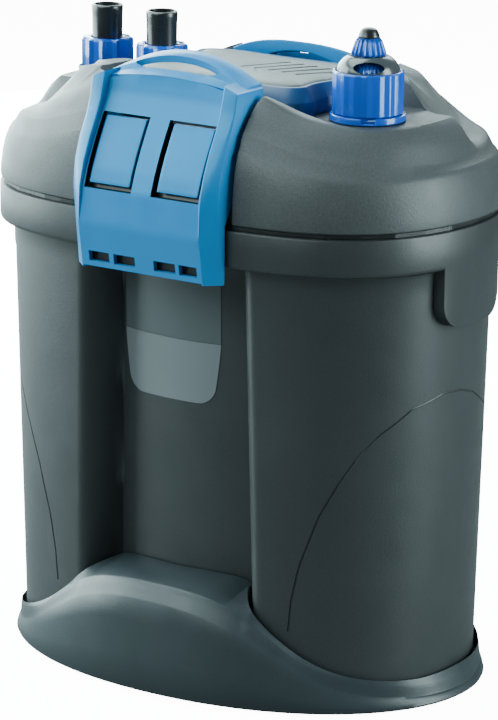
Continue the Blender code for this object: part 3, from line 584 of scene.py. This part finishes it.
def collar_tab(hand):
    """The rounded lug that hangs from the collar at each end, with softened edges."""
    half, bottom, radius = 27.0, 207.5, 13.0
    outline = [(-half, RIM_LOW + 6.0)]
    for corner, first in ((-1, 180), (1, 270)):
        for step in range(13):
            angle = math.radians(first + 7.5 * step)
            outline.append((corner * (half - radius) + radius * math.cos(angle),
                            bottom + radius + radius * math.sin(angle)))
    outline.append((half, RIM_LOW + 6.0))
    ends = sorted((hand * 133.0, hand * 150.0))
    slab = prism("collar_tab", outline, *ends, axis="X")
    rim = oval(RIM_A - 0.05, RIM_B - 0.05)
    trim = loft("tab_trim", [at_height(rim, z) for z in (200.0, 250.0)])
    boolean(slab, trim, "INTERSECT")
    return soften(slab, 1.6, 3, 40)



# --- head cover
SKIRT_TOP = wave((302.5, 300.5, 295.3, 291.5, 289.6, 289.6), (0, 50, 70, 90, 107, 140))
BAND_TOP = wave((311.0, 308.8, 304.0, 299.0, 297.4, 296.3, 292.0), (0, 51, 68, 87, 98, 118, 133))
EDGE_SHELF = wave((327.0, 326.0, 316.0, 312.0, 311.0, 311.0), (0, 46, 73, 95, 112, 130))
EDGE_HILL = wave((326.0, 324.0, 316.0, 306.0, 299.0, 296.5), (0, 46, 73, 95, 112, 118))
HILL_Z = 327.0
HILL = wave((HILL_Z, HILL_Z, 325.0, 311.0, 301.0), (0, 68, 78, 95, 107))


def shelf_share(x, y):
    """1 on the two shelf corners (right front, left rear), 0 on the two hill corners."""
    v = -y if x > 0 else y
    t = min(1.0, max(0.0, (v + 24.0) / 10.0))
    return t * t * (3 - 2 * t)


def edge_height(x, y):
    share = shelf_share(x, y)
    return EDGE_SHELF(x, y) * share + EDGE_HILL(x, y) * (1 - share)


def crown_height(x, y):
    share = shelf_share(x, y)
    return max(EDGE_SHELF(x, y), SHELF_Z + 1.0) * share + HILL(x, y) * (1 - share)


def shelf_outline():
    half = [(49.5, -66.0), (49.5, -59.0), (73, -51.5), (95, -48.5), (126, -48.5), (126, 15),
            (84, 22), (62, 22), (62, 52), (49.5, 59), (49.5, 66)]
    return half + [(-x, -y) for x, y in half]


def notch(side):
    """The slot in the head that a clip lies in, front (-1) or rear (1)."""
    line = [(-84.5, 250), (-84.5, 268), (-79, 280), (-74.5, 303), (-62, 306), (-62, 345),
            (-130, 345), (-130, 250)]
    return prism("notch", [(-side * y, z) for y, z in line], -NOTCH_HALF, NOTCH_HALF, axis="X")


def build_head_cover():
    z0 = SKIRT_LOW
    rings = [
        at_height(oval(140.6, 88.0), z0),
        at_height(oval(141.6, 89.0), z0 + 0.25),
        at_height(oval(142.2, 89.6), z0 + 1.0),
        at_height(oval(142.3, 89.7), z0 + 2.4),
        at_height(oval(142.1, 89.5), between(lambda x, y: z0, SKIRT_TOP, 0.25)),
        at_height(oval(141.3, 88.7), between(lambda x, y: z0, SKIRT_TOP, 0.50)),
        at_height(oval(139.8, 87.2), between(lambda x, y: z0, SKIRT_TOP, 0.75)),
        at_height(oval(138.3, 85.7), between(lambda x, y: z0, SKIRT_TOP, 0.90)),
        at_height(oval(137.1, 84.6), lambda x, y: SKIRT_TOP(x, y) - 0.7),
        at_height(oval(136.1, 83.6), lambda x, y: SKIRT_TOP(x, y)),
        at_height(oval(132.4, 80.4), lambda x, y: BAND_TOP(x, y) - 0.4),
        at_height(oval(131.6, 79.5), lambda x, y: BAND_TOP(x, y) + 0.4),
        at_height(oval(127.6, 75.0, (4.05, 2.13)), between(BAND_TOP, edge_height, 0.32, 1.0)),
        at_height(oval(122.9, 69.6, (4.3, 2.17)), between(BAND_TOP, edge_height, 0.68, 0.9)),
        at_height(oval(119.2, 65.4, (4.4, 2.2)), between(BAND_TOP, edge_height, 0.93, 0.2)),
        at_height(oval(117.4, 63.4, (4.5, 2.2)), lambda x, y: edge_height(x, y) + 0.4),
        at_height(oval(107.0, 53.0, (4.0, 2.2)), crown_height),
        at_height(oval(92.0, 44.0, (3.5, 2.2)), between(crown_height, lambda x, y: HILL_Z, 0.5)),
        at_height(oval(76.0, 36.0, (3.0, 2.2)), HILL_Z),
    ]
    inside = [
        at_height(oval(104.0, 50.0), 306.0), at_height(oval(127.0, 74.0), 289.0),
        at_height(oval(132.5, 79.5), 284.0), at_height(oval(138.0, 85.5), z0 + GAP),
        at_height(oval(138.0, 85.5), z0 - 8),
    ]
    cover = loft("head_shell", rings)
    for spot in PORTS.values():
        boolean(cover, rod("seat", (*spot, 286), (*spot, SHELF_Z + 0.5), 16.0), "UNION")
    hollow = loft("hollow", inside)
    for side in (-1, 1):
        ends = sorted((side * 59.3, side * 95.0))
        boolean(hollow, block("wall", (-52, ends[0], 250), (52, ends[1], 320)))
    boolean(cover, hollow)
    boolean(cover, prism("shelf", shelf_outline(), SHELF_Z, 350))
    boolean(cover, notch(-1))
    boolean(cover, notch(1))
    x, y, z = [(l + h) / 2 for l, h in zip(low("cable_gland"), high("cable_gland"))]
    boolean(cover, rod("gland_bore", (x, 60, z), (x, 100, z), 5.3))
    boolean(cover, rod("heater_bore", (*HEATER, 290), (*HEATER, 330), 15.8))
    for spot in PORTS.values():
        boolean(cover, rod("port_bore", (*spot, 280), (*spot, 330), 12.0))
    boolean(cover, rod("stem_bore", (0, 0, 290), (0, 0, 330), 6.5))
    for side in (-1, 1):
        y = side * HINGE_Y
        boolean(cover, rod("pin_bore", (-53.5, y, HINGE_Z), (53.5, y, HINGE_Z), 2.3, sides=24))
    soften(cover, 0.7, 2, 42, smooth=34)
    register(cover, "head", LID, ["head_cover"])


# --- clips
def profile_of(points):
    """y as a smooth function of z through a clip's side-view points."""
    zs = [z for y, z in points]
    ys = [y for y, z in points]
    return lambda z: float(np.interp(z, zs, ys))


PLATE = profile_of([(-99.5, 231.5), (-103.3, 255.5), (-101.3, 273.7), (-97.6, 284.0),
                    (-92.8, 294.5), (-88.0, 303.5), (-82.6, 313.0), (-78.8, 321.0), (-75.8, 333.0)])
OUTER = profile_of([(-92.4, 230.6), (-95.0, 252.7), (-97.3, 272.9), (-96.3, 285.6),
                    (-91.5, 299.0), (-86.0, 309.0), (-82.5, 318.0), (-80.2, 328.5), (-79.0, 332.5)])
RIDGE = profile_of([(-99.4, 231.0), (-103.3, 255.5), (-102.8, 273.7), (-99.6, 286.0),
                    (-93.9, 299.0), (-88.4, 309.0), (-84.2, 318.0), (-81.2, 328.5), (-80.0, 332.5)])
BACK = profile_of([(-91.0, 230.6), (-91.0, 262.0), (-86.5, 268.5), (-80.2, 281.0),
                   (-77.0, 305.0), (-63.5, 309.0), (-63.5, 322.0), (-57.0, 325.0), (-57.0, 332.5)])
PLATE_HALF = 37.5
Z_LIP = 332.6
WINDOW_TOP = 311.5
REAR_SQUASH = 0.43
SLOTS = ((-27.0, 6.5), (-10.8, 6.8), (14.8, 6.8), (29.6, 5.6))   # centre and half width


def level(z, side):
    """The rear clip's top sits lower: heights above the windows are drawn together."""
    if side < 0 or z < WINDOW_TOP:
        return z
    return WINDOW_TOP + (z - WINDOW_TOP) * REAR_SQUASH


def plate_top(x):
    return Z_LIP - 4.4 * (x / PLATE_HALF) ** 2


def build_clip_plate(side):
    """The curved front plate, windows and slots cut through it."""
    columns = np.linspace(-PLATE_HALF - 0.8, PLATE_HALF + 0.8, 41)
    stations = np.concatenate([np.linspace(232.0, 255.5, 10), np.linspace(258.0, 328.0, 36)])
    bm = bmesh.new()
    grid = []
    for x in columns:
        top = plate_top(x)
        line = []
        for z in list(stations[:-1]) + [top]:
            z = min(z, top)
            line.append(bm.verts.new((x, -side * PLATE(z), level(z, side))))
        grid.append(line)
    for a, b in zip(grid, grid[1:]):
        for i in range(len(a) - 1):
            bm.faces.new((a[i], b[i], b[i + 1], a[i + 1]))
    plate = make("clip_plate", bm)
    # faces must look outwards before the wall is given its thickness
    outward = sum(p.normal.y * p.area for p in plate.data.polygons) * side
    mod = plate.modifiers.new("wall", "SOLIDIFY")
    mod.thickness = 3.0 * MM
    mod.offset = -1 if outward > 0 else 1
    bake(plate)
    bm = bmesh.new()
    bm.from_mesh(plate.data)
    bmesh.ops.recalc_face_normals(bm, faces=bm.faces)
    bm.to_mesh(plate.data)
    bm.free()
    deep = sorted((side * 120.0, side * 70.0))
    for hand in (-1, 1):
        ends = sorted((hand * 6.2, hand * 36.2))
        boolean(plate, block("window", (ends[0], deep[0], 274.0), (ends[1], deep[1], 311.5)))
    outer = sorted((side * 120.0, side * 90.0))
    for x, half in SLOTS:
        boolean(plate, block("slot", (x - half, outer[0], 234.9), (x + half, outer[1], 240.4)))
    return plate


def rail_section(hand, side, z):
    """Plan of a rail at height z: ridge beside the plate, bright facet, dark slanted flank."""
    share = min(1.0, max(0.0, (z - 256.0) / 62.0))
    crisp_x = 38.4 + (CLIP_HALF - 0.6 - 38.4) * share ** 0.8
    inner, ridge_y, outer_y, back_y = PLATE(z) + 2.5, RIDGE(z), OUTER(z), BACK(z)
    t = (crisp_x - 38.4) / (CLIP_HALF - 38.4)
    crisp_y = ridge_y + (outer_y - ridge_y) * t * 0.72
    points = [(36.9, inner), (37.5, ridge_y + 0.5), (38.2, ridge_y), (crisp_x, crisp_y),
              (CLIP_HALF, outer_y), (CLIP_HALF, back_y), (36.9, back_y)]
    return [(hand * x, -side * y, z) for x, y in points]


def build_rail(hand, side):
    heights = [231.0, 238.0, 247.0, 255.5, 262.0, 268.5, 274.0, 281.0, 287.0, 293.0, 299.0, 305.0,
               309.0, 313.0, 318.0, 322.0, 325.0, 328.5, 331.0]
    sections = [[(x, y, level(h, side)) for x, y, h in rail_section(hand, side, z)]
                for z in heights]
    top = []
    for x, y, z in sections[-1]:
        top.append((x, y, level(332.3 - 3.6 * (abs(x) - 37.0) / 9.0, side)))
    sections[-1] = top
    return loft("clip_rail", sections)


def build_visor(side):
    """The arched grip: a bevelled lip, a slit, a steep band, then a soft bow to its inner edge.

    The rear one is flatter, reaches further in and ends in a lip that hangs behind the surround.
    """
    sections = []
    steps = 44
    half = CLIP_HALF - 2.0
    for i in range(steps + 1):
        x = half * (2 * i / steps - 1)
        rise = 1 - (x / CLIP_HALF) ** 2
        bow = 1 - abs(x / CLIP_HALF) ** 2.6
        if side < 0:
            front, crest = (-76.2, 327.9 + 4.4 * rise), (-67.8, 329.0 + 10.6 * rise)
            foot = (-69.4, 328.4 + 6.9 * rise)
            edge = (-56.2 + 1.4 * rise, 329.6 + 13.6 * rise)
            lip = [(edge[0] + 0.6, edge[1] - 0.7), (edge[0] + 0.5, edge[1] - 2.6)]
        else:
            front, crest = (-76.2, 318.5 + 1.9 * rise), (-66.0, 320.0 + 5.8 * bow)
            foot = (-69.4, 319.2 + 3.6 * bow)
            edge = (-47.0, 324.8 + 8.6 * bow)
            hang = 322.6 + 5.2 * max(0.0, 1 - (x / 25.0) ** 2)
            lip = [(-46.5, edge[1] - 0.7), (-46.5, hang + 0.5), (-46.9, hang), (-48.4, hang),
                   (-48.8, edge[1] - 3.2)]
        roof = []
        for k in range(9):
            t = k / 8
            roof.append((crest[0] + (edge[0] - crest[0]) * t, crest[1] + (edge[1] - crest[1]) * t
                         + 1.0 * math.sin(math.pi * t) * rise))
        crown = [front, foot] + roof + lip
        under = [(crest[0] + 1.0, crest[1] - 3.0), (foot[0] + 1.2, foot[1] - 2.9),
                 (front[0] + 1.2, front[1] - 2.9)]
        if side < 0:
            under.insert(0, (roof[4][0] + 0.8, roof[4][1] - 2.9))
        sections.append([(x, -side * y, z) for y, z in crown + under])
    visor = loft("clip_visor", sections, smooth=40)
    slit_y, slit_deep = (67.2, 3.1) if side < 0 else (65.5, 4.6)
    lens = []
    for i in range(48):
        angle = 2 * math.pi * i / 48
        lens.append((27.5 * math.cos(angle), side * slit_y + slit_deep * math.sin(angle)))
    boolean(visor, prism("slit", lens, 315, 355))
    return visor


def paint_window_wall_shade(moulding):
    """Painted shade: the windows' inner walls get the same black as the backing behind the panels,
    standing in for the shadow deep in the gaps around the panels.
    """
    moulding.data.materials.append(BLACK)
    for face in moulding.data.polygons:
        x, _, z = face.center / MM
        beside = min(abs(abs(x) - 6.2), abs(abs(x) - 36.2)) < 0.15 and 274.0 < z < 311.5
        above = min(abs(z - 274.0), abs(z - 311.5)) < 0.15 and 6.2 < abs(x) < 36.2
        if beside or above:
            face.material_index = 1


def build_clip(side):
    where = "rear" if side > 0 else "front"
    body = "clip_" + where
    frame_obj = build_clip_plate(side)
    for hand in (-1, 1):
        boolean(frame_obj, build_rail(hand, side), "UNION")
    boolean(frame_obj, build_visor(side), "UNION")
    ribs = sorted((side * 91.0, side * 99.5))
    boolean(frame_obj, block("rib", (-38, ribs[0], 232.3), (38, ribs[1], 234.6)), "UNION")
    pin = rod("pin_hole", (-60, side * HINGE_Y, HINGE_Z), (60, side * HINGE_Y, HINGE_Z), 2.3,
              sides=24)
    boolean(frame_obj, pin)
    frame_obj.name = body + "_moulding"
    soften(frame_obj, 0.32, 2, 24, smooth=17)
    register(frame_obj, body, BLUE, [body + "_frame"])
    # the window walls of the blue moulding are given black as painted shade
    paint_window_wall_shade(frame_obj)
    for hand, word in ((-1, "left"), (1, "right")):
        build_clip_panel(side, hand, f"{body}_panel_{word}", body)
    # A black strip behind the bottom slots: painted shade, a dark sheet where the slots show only
    # shadow.
    strip = sorted((side * 95.2, side * 96.4))
    insert = block("insert", (-36.8, strip[0], 234.8), (36.8, strip[1], 241.4))
    insert.name = body + "_slot_shade_sheet"
    register(insert, body, BLACK, [])
    # The backing behind the panels is given black as painted shade, for the dark gaps seen around
    # the panels.
    backing = frame["nodes"][body + "_backing"]
    backing.data.materials.clear()
    backing.data.materials.append(BLACK)


def build_clip_panel(side, hand, node, body):
    """A crowned push panel that follows the plate's curve inside its window."""
    ends = sorted((hand * 8.6, hand * 34.4))
    columns = np.linspace(*ends, 15)
    stations = np.linspace(276.4, 309.6, 19)
    bm = bmesh.new()
    grid = []
    for x in columns:
        across = (x - ends[0]) / (ends[1] - ends[0]) * 2 - 1
        line = []
        for z in stations:
            along = (z - stations[0]) / (stations[-1] - stations[0]) * 2 - 1
            crown = 0.45 * (1 - across ** 2) * (1 - along ** 2)
            line.append(bm.verts.new((x, -side * (PLATE(z) + 1.2 - crown), z)))
        grid.append(line)
    for a, b in zip(grid, grid[1:]):
        for i in range(len(a) - 1):
            bm.faces.new((a[i], b[i], b[i + 1], a[i + 1]))
    edge = bmesh.ops.extrude_face_region(bm, geom=bm.faces[:])
    moved = [g for g in edge["geom"] if isinstance(g, bmesh.types.BMVert)]
    bmesh.ops.translate(bm, verts=moved, vec=(0, -side * 2.4, 0))
    panel = make(node + "_pad", bm)
    soften(panel, 0.5, 3, 40, smooth=38)
    register(panel, body, BLUE, [node])


# --- hose ports
def build_ports():
    for port, spot in PORTS.items():
        top = high(port + "_nozzle")[2]
        wide = (high(port + "_nozzle")[0] - low(port + "_nozzle")[0]) / 2
        base = low(port + "_nozzle")[2]
        profile = [(7.3, top), (7.9, top - 0.1), (8.5, top - 0.55), (8.75, top - 1.3),
                   (8.7, top - 3.0), (8.55, top - 5.5), (8.5, top - 6.5), (8.3, base + 5.2),
                   (8.45, base + 4.0), (wide, base + 2.9), (wide, base), (6.9, base),
                   (6.9, top - 1.0), (7.0, top - 0.3)]
        nozzle = turned(port + "_nozzle_turned", profile, spot)
        register(nozzle, "head", BLACK, [port + "_nozzle"])
        node = "union_nut_" + port
        bottom, crown = low(node)[2], high(node)[2]
        radius = 14.5
        nut = fluted_nut(node + "_fluted", spot, radius, bottom, crown, flutes=11, depth=1.5,
                         mouth=9.0, bore=12.1, step=4.3)
        register(nut, port + "_nut", GLOSS_BLUE, [node])


def fluted_outline(spot, radius, depth, flutes, per, sharp):
    """Ridges standing between round hollows."""
    points = []
    for i in range(flutes * per):
        phase = (i / per) % 1.0
        hollow = max(0.0, 1 - abs(phase - 0.5) / 0.5)
        r = radius - depth * min(1.0, hollow * sharp) ** 0.8
        angle = 2 * math.pi * i / (flutes * per)
        points.append((spot[0] + r * math.cos(angle), spot[1] + r * math.sin(angle)))
    return points


def ring_of(radius, count, spot):
    return [(spot[0] + radius * math.cos(2 * math.pi * i / count),
             spot[1] + radius * math.sin(2 * math.pi * i / count)) for i in range(count)]


def fluted_nut(name, spot, radius, bottom, crown, flutes, depth, mouth, bore, step, per=16,
               sharp=1.6):
    count = flutes * per
    outer = fluted_outline(spot, radius, depth, flutes, per, sharp)
    rings = [at_height(inset(outer, 0.8), bottom), at_height(inset(outer, 0.2), bottom + 0.3),
             at_height(outer, bottom + 1.0), at_height(outer, crown - 1.4),
             at_height(inset(outer, 0.25), crown - 0.7), at_height(inset(outer, 0.9), crown - 0.15),
             at_height(ring_of(radius - depth - 1.0, count, spot), crown),
             at_height(ring_of(mouth + 0.5, count, spot), crown),
             at_height(ring_of(mouth, count, spot), crown - 0.5),
             at_height(ring_of(mouth, count, spot), crown - step),
             at_height(ring_of(bore, count, spot), crown - step),
             at_height(ring_of(bore, count, spot), bottom)]
    return loft(name, rings, closed=True, smooth=45)


# --- heater head
HEATER_FACING = 33.0        # bearing of the dial window, towards the right of the front


def turn_about(obj, spot, degrees):
    """Turn a cutter's mesh about a vertical axis through spot."""
    c, t = math.cos(math.radians(degrees)), math.sin(math.radians(degrees))
    for v in obj.data.vertices:
        x, y = v.co.x - spot[0] * MM, v.co.y - spot[1] * MM
        v.co.x, v.co.y = spot[0] * MM + x * c - y * t, spot[1] * MM + x * t + y * c


def build_heater():
    spot = HEATER
    base, top = low("heater_flange")[2], high("heater_flange")[2]
    flange = turned("heater_flange_turned", [
        (19.3, top), (19.8, top - 0.2), (20.0, top - 0.7), (20.0, base + 0.4), (19.6, base),
        (14.4, base), (14.4, top)], spot)
    notch_cut = block("notch", (spot[0] - 3.6, spot[1] - 24, base + 0.9),
                      (spot[0] + 3.6, spot[1] - 17, top + 2))
    turn_about(notch_cut, spot, HEATER_FACING)
    boolean(flange, notch_cut)
    register(flange, "head", GLOSS_BLUE, ["heater_flange"])
    bottom, crown = low("heater_nut")[2], high("heater_nut")[2]
    flutes, per = 18, 10
    count = flutes * per
    outer = fluted_outline(spot, 18.8, 0.55, flutes, per, 1.0)
    rings = [at_height(inset(outer, 0.5), bottom), at_height(outer, bottom + 0.5),
             at_height(outer, crown - 1.0), at_height(inset(outer, 0.2), crown - 0.35),
             at_height(inset(outer, 0.7), crown), at_height(ring_of(17.1, count, spot), crown),
             at_height(ring_of(16.9, count, spot), crown - 0.3),
             at_height(ring_of(16.9, count, spot), bottom)]
    nut = loft("heater_ring_nut", rings, closed=True, smooth=40)
    register(nut, "heater_ring", GLOSS_BLUE, ["heater_nut"])
    cone_top = high("heater_cone")[2]
    foot = low("heater_cone")[2]
    dome = []
    for i in range(13):
        t = i / 12
        dome.append((10.3 + 6.2 * math.sin(math.pi / 2 * t) ** 1.05, cone_top - 8.6 * t ** 1.35))
    cone = turned("heater_dome", [(5.4, cone_top), (10.0, cone_top)] + dome
                  + [(16.5, foot), (14.6, foot), (14.6, cone_top - 8.5), (12.6, cone_top - 4.8),
                     (9.6, cone_top - 2.2), (5.4, cone_top - 2.2)], spot, steps=128)
    window = rod("dial_window", (spot[0], spot[1] - 24, cone_top - 4.6),
                 (spot[0], spot[1] - 6, cone_top - 4.6), 2.9, sides=32)
    stretch(window, (spot[0], 0, 0), (2.75, 1, 1))
    turn_about(window, spot, HEATER_FACING)
    boolean(cone, window)
    soften(cone, 0.35, 2, 45, smooth=40)
    register(cone, "head", SMOKE, ["heater_cone"])
    dial_top, dial_low = high("heater_dial")[2], low("heater_dial")[2]
    ribs = fluted_outline(spot, 12.6, 0.9, 36, 4, 1.3)
    count = 36 * 4
    dial = loft("heater_dial_ribbed", [
        at_height(ring_of(4.9, count, spot), dial_top), at_height(inset(ribs, 3.6), dial_top),
        at_height(inset(ribs, 1.0), dial_top - 2.4), at_height(ribs, dial_top - 5.0),
        at_height(ribs, dial_low), at_height(ring_of(4.9, count, spot), dial_low)],
        closed=True, smooth=40)
    register(dial, "heater_adjuster", GLOSS_BLUE, ["heater_dial"])
    knob_low, knob_top = 345.3, high("heater_knob")[2]
    wide = fluted_outline(spot, 9.1, 0.9, 20, 8, 1.5)
    slim = fluted_outline(spot, 7.1, 0.6, 20, 8, 1.5)
    count = 20 * 8
    knob = loft("heater_knob_ribbed", [
        at_height(ring_of(3.0, count, spot), low("heater_knob")[2]),
        at_height(ring_of(4.4, count, spot), low("heater_knob")[2]),
        at_height(ring_of(4.4, count, spot), knob_low),
        at_height(inset(wide, 0.3), knob_low), at_height(wide, knob_low + 0.5),
        at_height(wide, knob_low + 1.6), at_height(slim, knob_top - 1.6),
        at_height(inset(slim, 0.8), knob_top - 0.6), at_height(ring_of(5.9, count, spot), knob_top),
        at_height(ring_of(3.0, count, spot), knob_top)], closed=True, smooth=40)
    register(knob, "heater_adjuster", GLOSS_BLUE, ["heater_knob"])
    tip_top = high("heater_tip")[2]
    tip_low = knob_top + GAP
    rise = tip_top - tip_low
    cap = [(1.2, tip_top - 0.05), (2.6, tip_top - 0.04 * rise), (3.9, tip_top - 0.16 * rise),
           (4.9, tip_top - 0.45 * rise), (5.7, tip_low + 0.12 * rise)]
    tip = turned("heater_cap", [(0, tip_top)] + cap + [(5.6, tip_low), (2.7, tip_low),
                                                     (2.7, low("heater_tip")[2])], spot, steps=64)
    register(tip, "heater_adjuster", BLACK, ["heater_tip"])


def stretch(obj, about, factors):
    """Scale a mesh about a point given in millimetres."""
    centre = Vector(about) * MM
    for vert in obj.data.vertices:
        gap = vert.co - centre
        vert.co = centre + Vector([g * f for g, f in zip(gap, factors)])


# --- priming plate
def island(distance=0.0, count=288):
    """Outline of the blue surround, drawn in by a distance: a soft rectangle with two bites."""
    bites = [(HEATER[0], HEATER[1], 29.0 + distance), (-HEATER[0], -HEATER[1], 29.0 + distance)]
    half_x = high("button_surround")[0] - distance
    half_y = high("button_surround")[1] - distance
    points = []
    for i in range(count):
        angle = 2 * math.pi * (i + 0.5) / count
        c, s = math.cos(angle), math.sin(angle)
        r = 1 / ((abs(c) / half_x) ** 7 + (abs(s) / half_y) ** 7) ** (1 / 7)
        for bx, by, br in bites:
            along = bx * c + by * s
            off = abs(bx * s - by * c)
            if along > 0 and off < br:
                r = min(r, along - math.sqrt(br * br - off * off))
        points.append((r * c, r * s))
    return points


def shrink(outline, share):
    return [(x * share, y * share) for x, y in outline]


def build_priming():
    base, top = low("button_surround")[2], high("button_surround")[2]
    surround = loft("surround_chamfered", [
        at_height(island(), base), at_height(island(), top - 7.4),
        at_height(island(0.35), top - 6.7), at_height(island(4.1), top - 0.5),
        at_height(island(4.7), top), at_height(island(6.7), top), at_height(island(7.0), top - 0.3),
        at_height(island(7.0), base)], closed=True, smooth=32)
    register(surround, "head", DEEP_BLUE, ["button_surround"])
    low_z, high_z = low("priming_plate")[2], high("priming_plate")[2]
    inner = island(8.2)
    plate = loft("priming_cap", [
        at_height(island(7.5), 320.5), at_height(island(7.5), high_z - 3.6),
        at_height(island(7.7), high_z - 2.9), at_height(inner, high_z - 2.4),
        at_height(island(10.0), high_z - 1.7),
        at_height(shrink(inner, 0.82), high_z - 0.9), at_height(shrink(inner, 0.6), high_z - 0.3),
        at_height(shrink(inner, 0.3), high_z)], smooth=32)
    boolean(plate, rod("stem", (0, 0, low_z), (0, 0, 322), 6.0), "UNION")
    for i in range(5):
        x = 8 + 8.6 * i
        groove = block("groove", (x - 1.3, -13, high_z - 2.4), (x + 1.3, 17, high_z + 6),
                       turn=math.radians(-28))
        boolean(plate, groove)
    soften(plate, 0.4, 2, 40, smooth=34)
    register(plate, "priming_button", PLATE_GREY, ["priming_plate"])


# --- media and inner parts
def build_media():
    for node, finish, slot in (("foam_coarse", FOAM_BLUE, "foam_blue"),
                               ("foam_medium", FOAM_ORANGE, "foam_orange"),
                               ("foam_fine", FOAM_WHITE, "foam_white"),
                               ("ceramic_media", CERAMIC, "ceramic")):
        a, b = low(node), high(node)
        bm = bmesh.new()
        bmesh.ops.create_cube(bm, size=1.0)
        bmesh.ops.scale(bm, verts=bm.verts, vec=[h - l for l, h in zip(a, b)])
        bmesh.ops.bevel(bm, geom=bm.edges[:], offset=4.0, segments=4, affect="EDGES")
        bmesh.ops.subdivide_edges(bm, edges=bm.edges[:], cuts=5, use_grid_fill=True)
        bmesh.ops.translate(bm, verts=bm.verts, vec=[(h + l) / 2 for l, h in zip(a, b)])
        pad = make(node + "_pad", bm, smooth=60)
        register(pad, "container_body", finish, [node])


def finish_inner():
    """Materials for the frame's own nodes that keep their shape."""
    looks = ((RUBBER, ("foot_pad_front_left", "foot_pad_front_right",
                                 "foot_pad_rear_left", "foot_pad_rear_right", "rim_seal",
                                 "inlet_o_ring", "outlet_o_ring", "cable_gland")),
             (BLACK, ("head_bottom_plate", "motor_housing", "impeller_cover",
                               "inlet_socket", "outlet_socket", "intake_tube", "heater_guard")),
             (BASKET, ("media_basket_lower", "media_basket_upper")),
             (STEEL, ("motor_screw_1", "motor_screw_2", "motor_screw_3", "motor_screw_4",
                               "clip_front_pin", "clip_rear_pin", "rotor_shaft",
                               "button_spring")),
             (MAGNET, ("rotor_magnet",)), (GLASS, ("heater_glass_tube",)),
             (CERAMIC, ("heater_core",)), (BLUE, ("impeller",)))
    for finish, names in looks:
        for name in names:
            node = frame["nodes"][name]
            node.data.materials.clear()
            node.data.materials.append(finish)


# --- stage
TEAL = (0.78, 0.99, 1.0)    # the soft boxes' cool tint
MIDDLE = (0, 0, 0.18)       # what the soft boxes point at


def area_light(name, place, size, power):
    data = bpy.data.lights.new(name, "AREA")
    data.shape = "RECTANGLE"
    data.size, data.size_y = size
    data.energy = power
    data.color = TEAL
    light = bpy.data.objects.new(name, data)
    light.location = place
    aim = Vector(MIDDLE) - Vector(place)
    light.rotation_euler = aim.to_track_quat("-Z", "Y").to_euler()
    bpy.context.scene.collection.objects.link(light)


def round_about(angle, distance, height):
    """A place at a bearing from the object, 0 in front and 90 at its right."""
    return (distance * math.sin(math.radians(angle)), -distance * math.cos(math.radians(angle)),
            height)


def build_stage():
    bm = bmesh.new()
    bmesh.ops.create_grid(bm, x_segments=2, y_segments=2, size=9000.0)
    floor = make("floor", bm)
    mat = bpy.data.materials.new("pale_floor")
    mat.use_nodes = True
    nodes, links = mat.node_tree.nodes, mat.node_tree.links
    shader = nodes["Principled BSDF"]
    shader.inputs["Roughness"].default_value = 0.9
    shader.inputs["Specular IOR Level"].default_value = 0.1
    shader.inputs["Emission Color"].default_value = (1, 1, 1, 1)
    seen = nodes.new("ShaderNodeLightPath")
    glow = nodes.new("ShaderNodeMapRange")
    glow.inputs["To Max"].default_value = 13.0
    links.new(seen.outputs["Is Camera Ray"], glow.inputs["Value"])
    links.new(glow.outputs["Result"], shader.inputs["Emission Strength"])
    tone = nodes.new("ShaderNodeMix")
    tone.data_type = "RGBA"
    tone.inputs[6].default_value = (0.16, 0.17, 0.17, 1)
    tone.inputs[7].default_value = (0.86, 0.87, 0.87, 1)
    links.new(seen.outputs["Is Camera Ray"], tone.inputs[0])
    links.new(tone.outputs[2], shader.inputs["Base Color"])
    floor.data.materials.append(mat)
    world = bpy.data.worlds.new("studio")
    world.use_nodes = True
    world.node_tree.nodes["Background"].inputs["Color"].default_value = (0.90, 0.96, 1.0, 1)
    world.node_tree.nodes["Background"].inputs["Strength"].default_value = 0.16
    bpy.context.scene.world = world
    for light in (
            ("left_box", round_about(-76, 1.5, 0.45), (1.4, 1.5), 74),
            ("far_left_box", round_about(-122, 1.5, 0.45), (1.0, 1.5), 60),
            ("right_box", round_about(104, 1.5, 0.45), (0.7, 1.5), 46),
            ("top_box", (-0.55, -0.1, 1.5), (1.2, 0.9), 26),
            ("front_box", round_about(-18, 1.5, 1.15), (1.3, 0.8), 20),
            ("rear_box", round_about(200, 1.5, 1.1), (1.0, 0.7), 12)):
        area_light(*light)


def build_camera():
    azimuth, elevation, roll = math.radians(34.19), math.radians(14.77), math.radians(0.5)
    target = Vector((-0.0001, 0.0, 0.1657))
    back = Vector((math.sin(azimuth) * math.cos(elevation),
                   -math.cos(azimuth) * math.cos(elevation), math.sin(elevation)))
    right = Vector((math.cos(azimuth), math.sin(azimuth), 0.0))
    up = back.cross(right)
    right_r = right * math.cos(roll) + up * math.sin(roll)
    up_r = up * math.cos(roll) - right * math.sin(roll)
    data = bpy.data.cameras.new("camera")
    data.sensor_fit = "AUTO"
    data.sensor_width = 36.0
    data.lens = 192.06
    data.shift_y = -0.0028
    data.clip_end = 50.0
    camera = bpy.data.objects.new("camera", data)
    matrix = Matrix.Identity(4)
    for row in range(3):
        matrix[row][0] = right_r[row]
        matrix[row][1] = up_r[row]
        matrix[row][2] = back[row]
        matrix[row][3] = (target + 2.0897 * back)[row]
    camera.matrix_world = matrix
    bpy.context.scene.collection.objects.link(camera)
    bpy.context.scene.camera = camera


build_camera()
build_stage()
build_foot()
build_container()
build_label()
build_head_cover()
build_clip(-1)
build_clip(1)
build_ports()
build_heater()
build_priming()
build_media()
finish_inner()
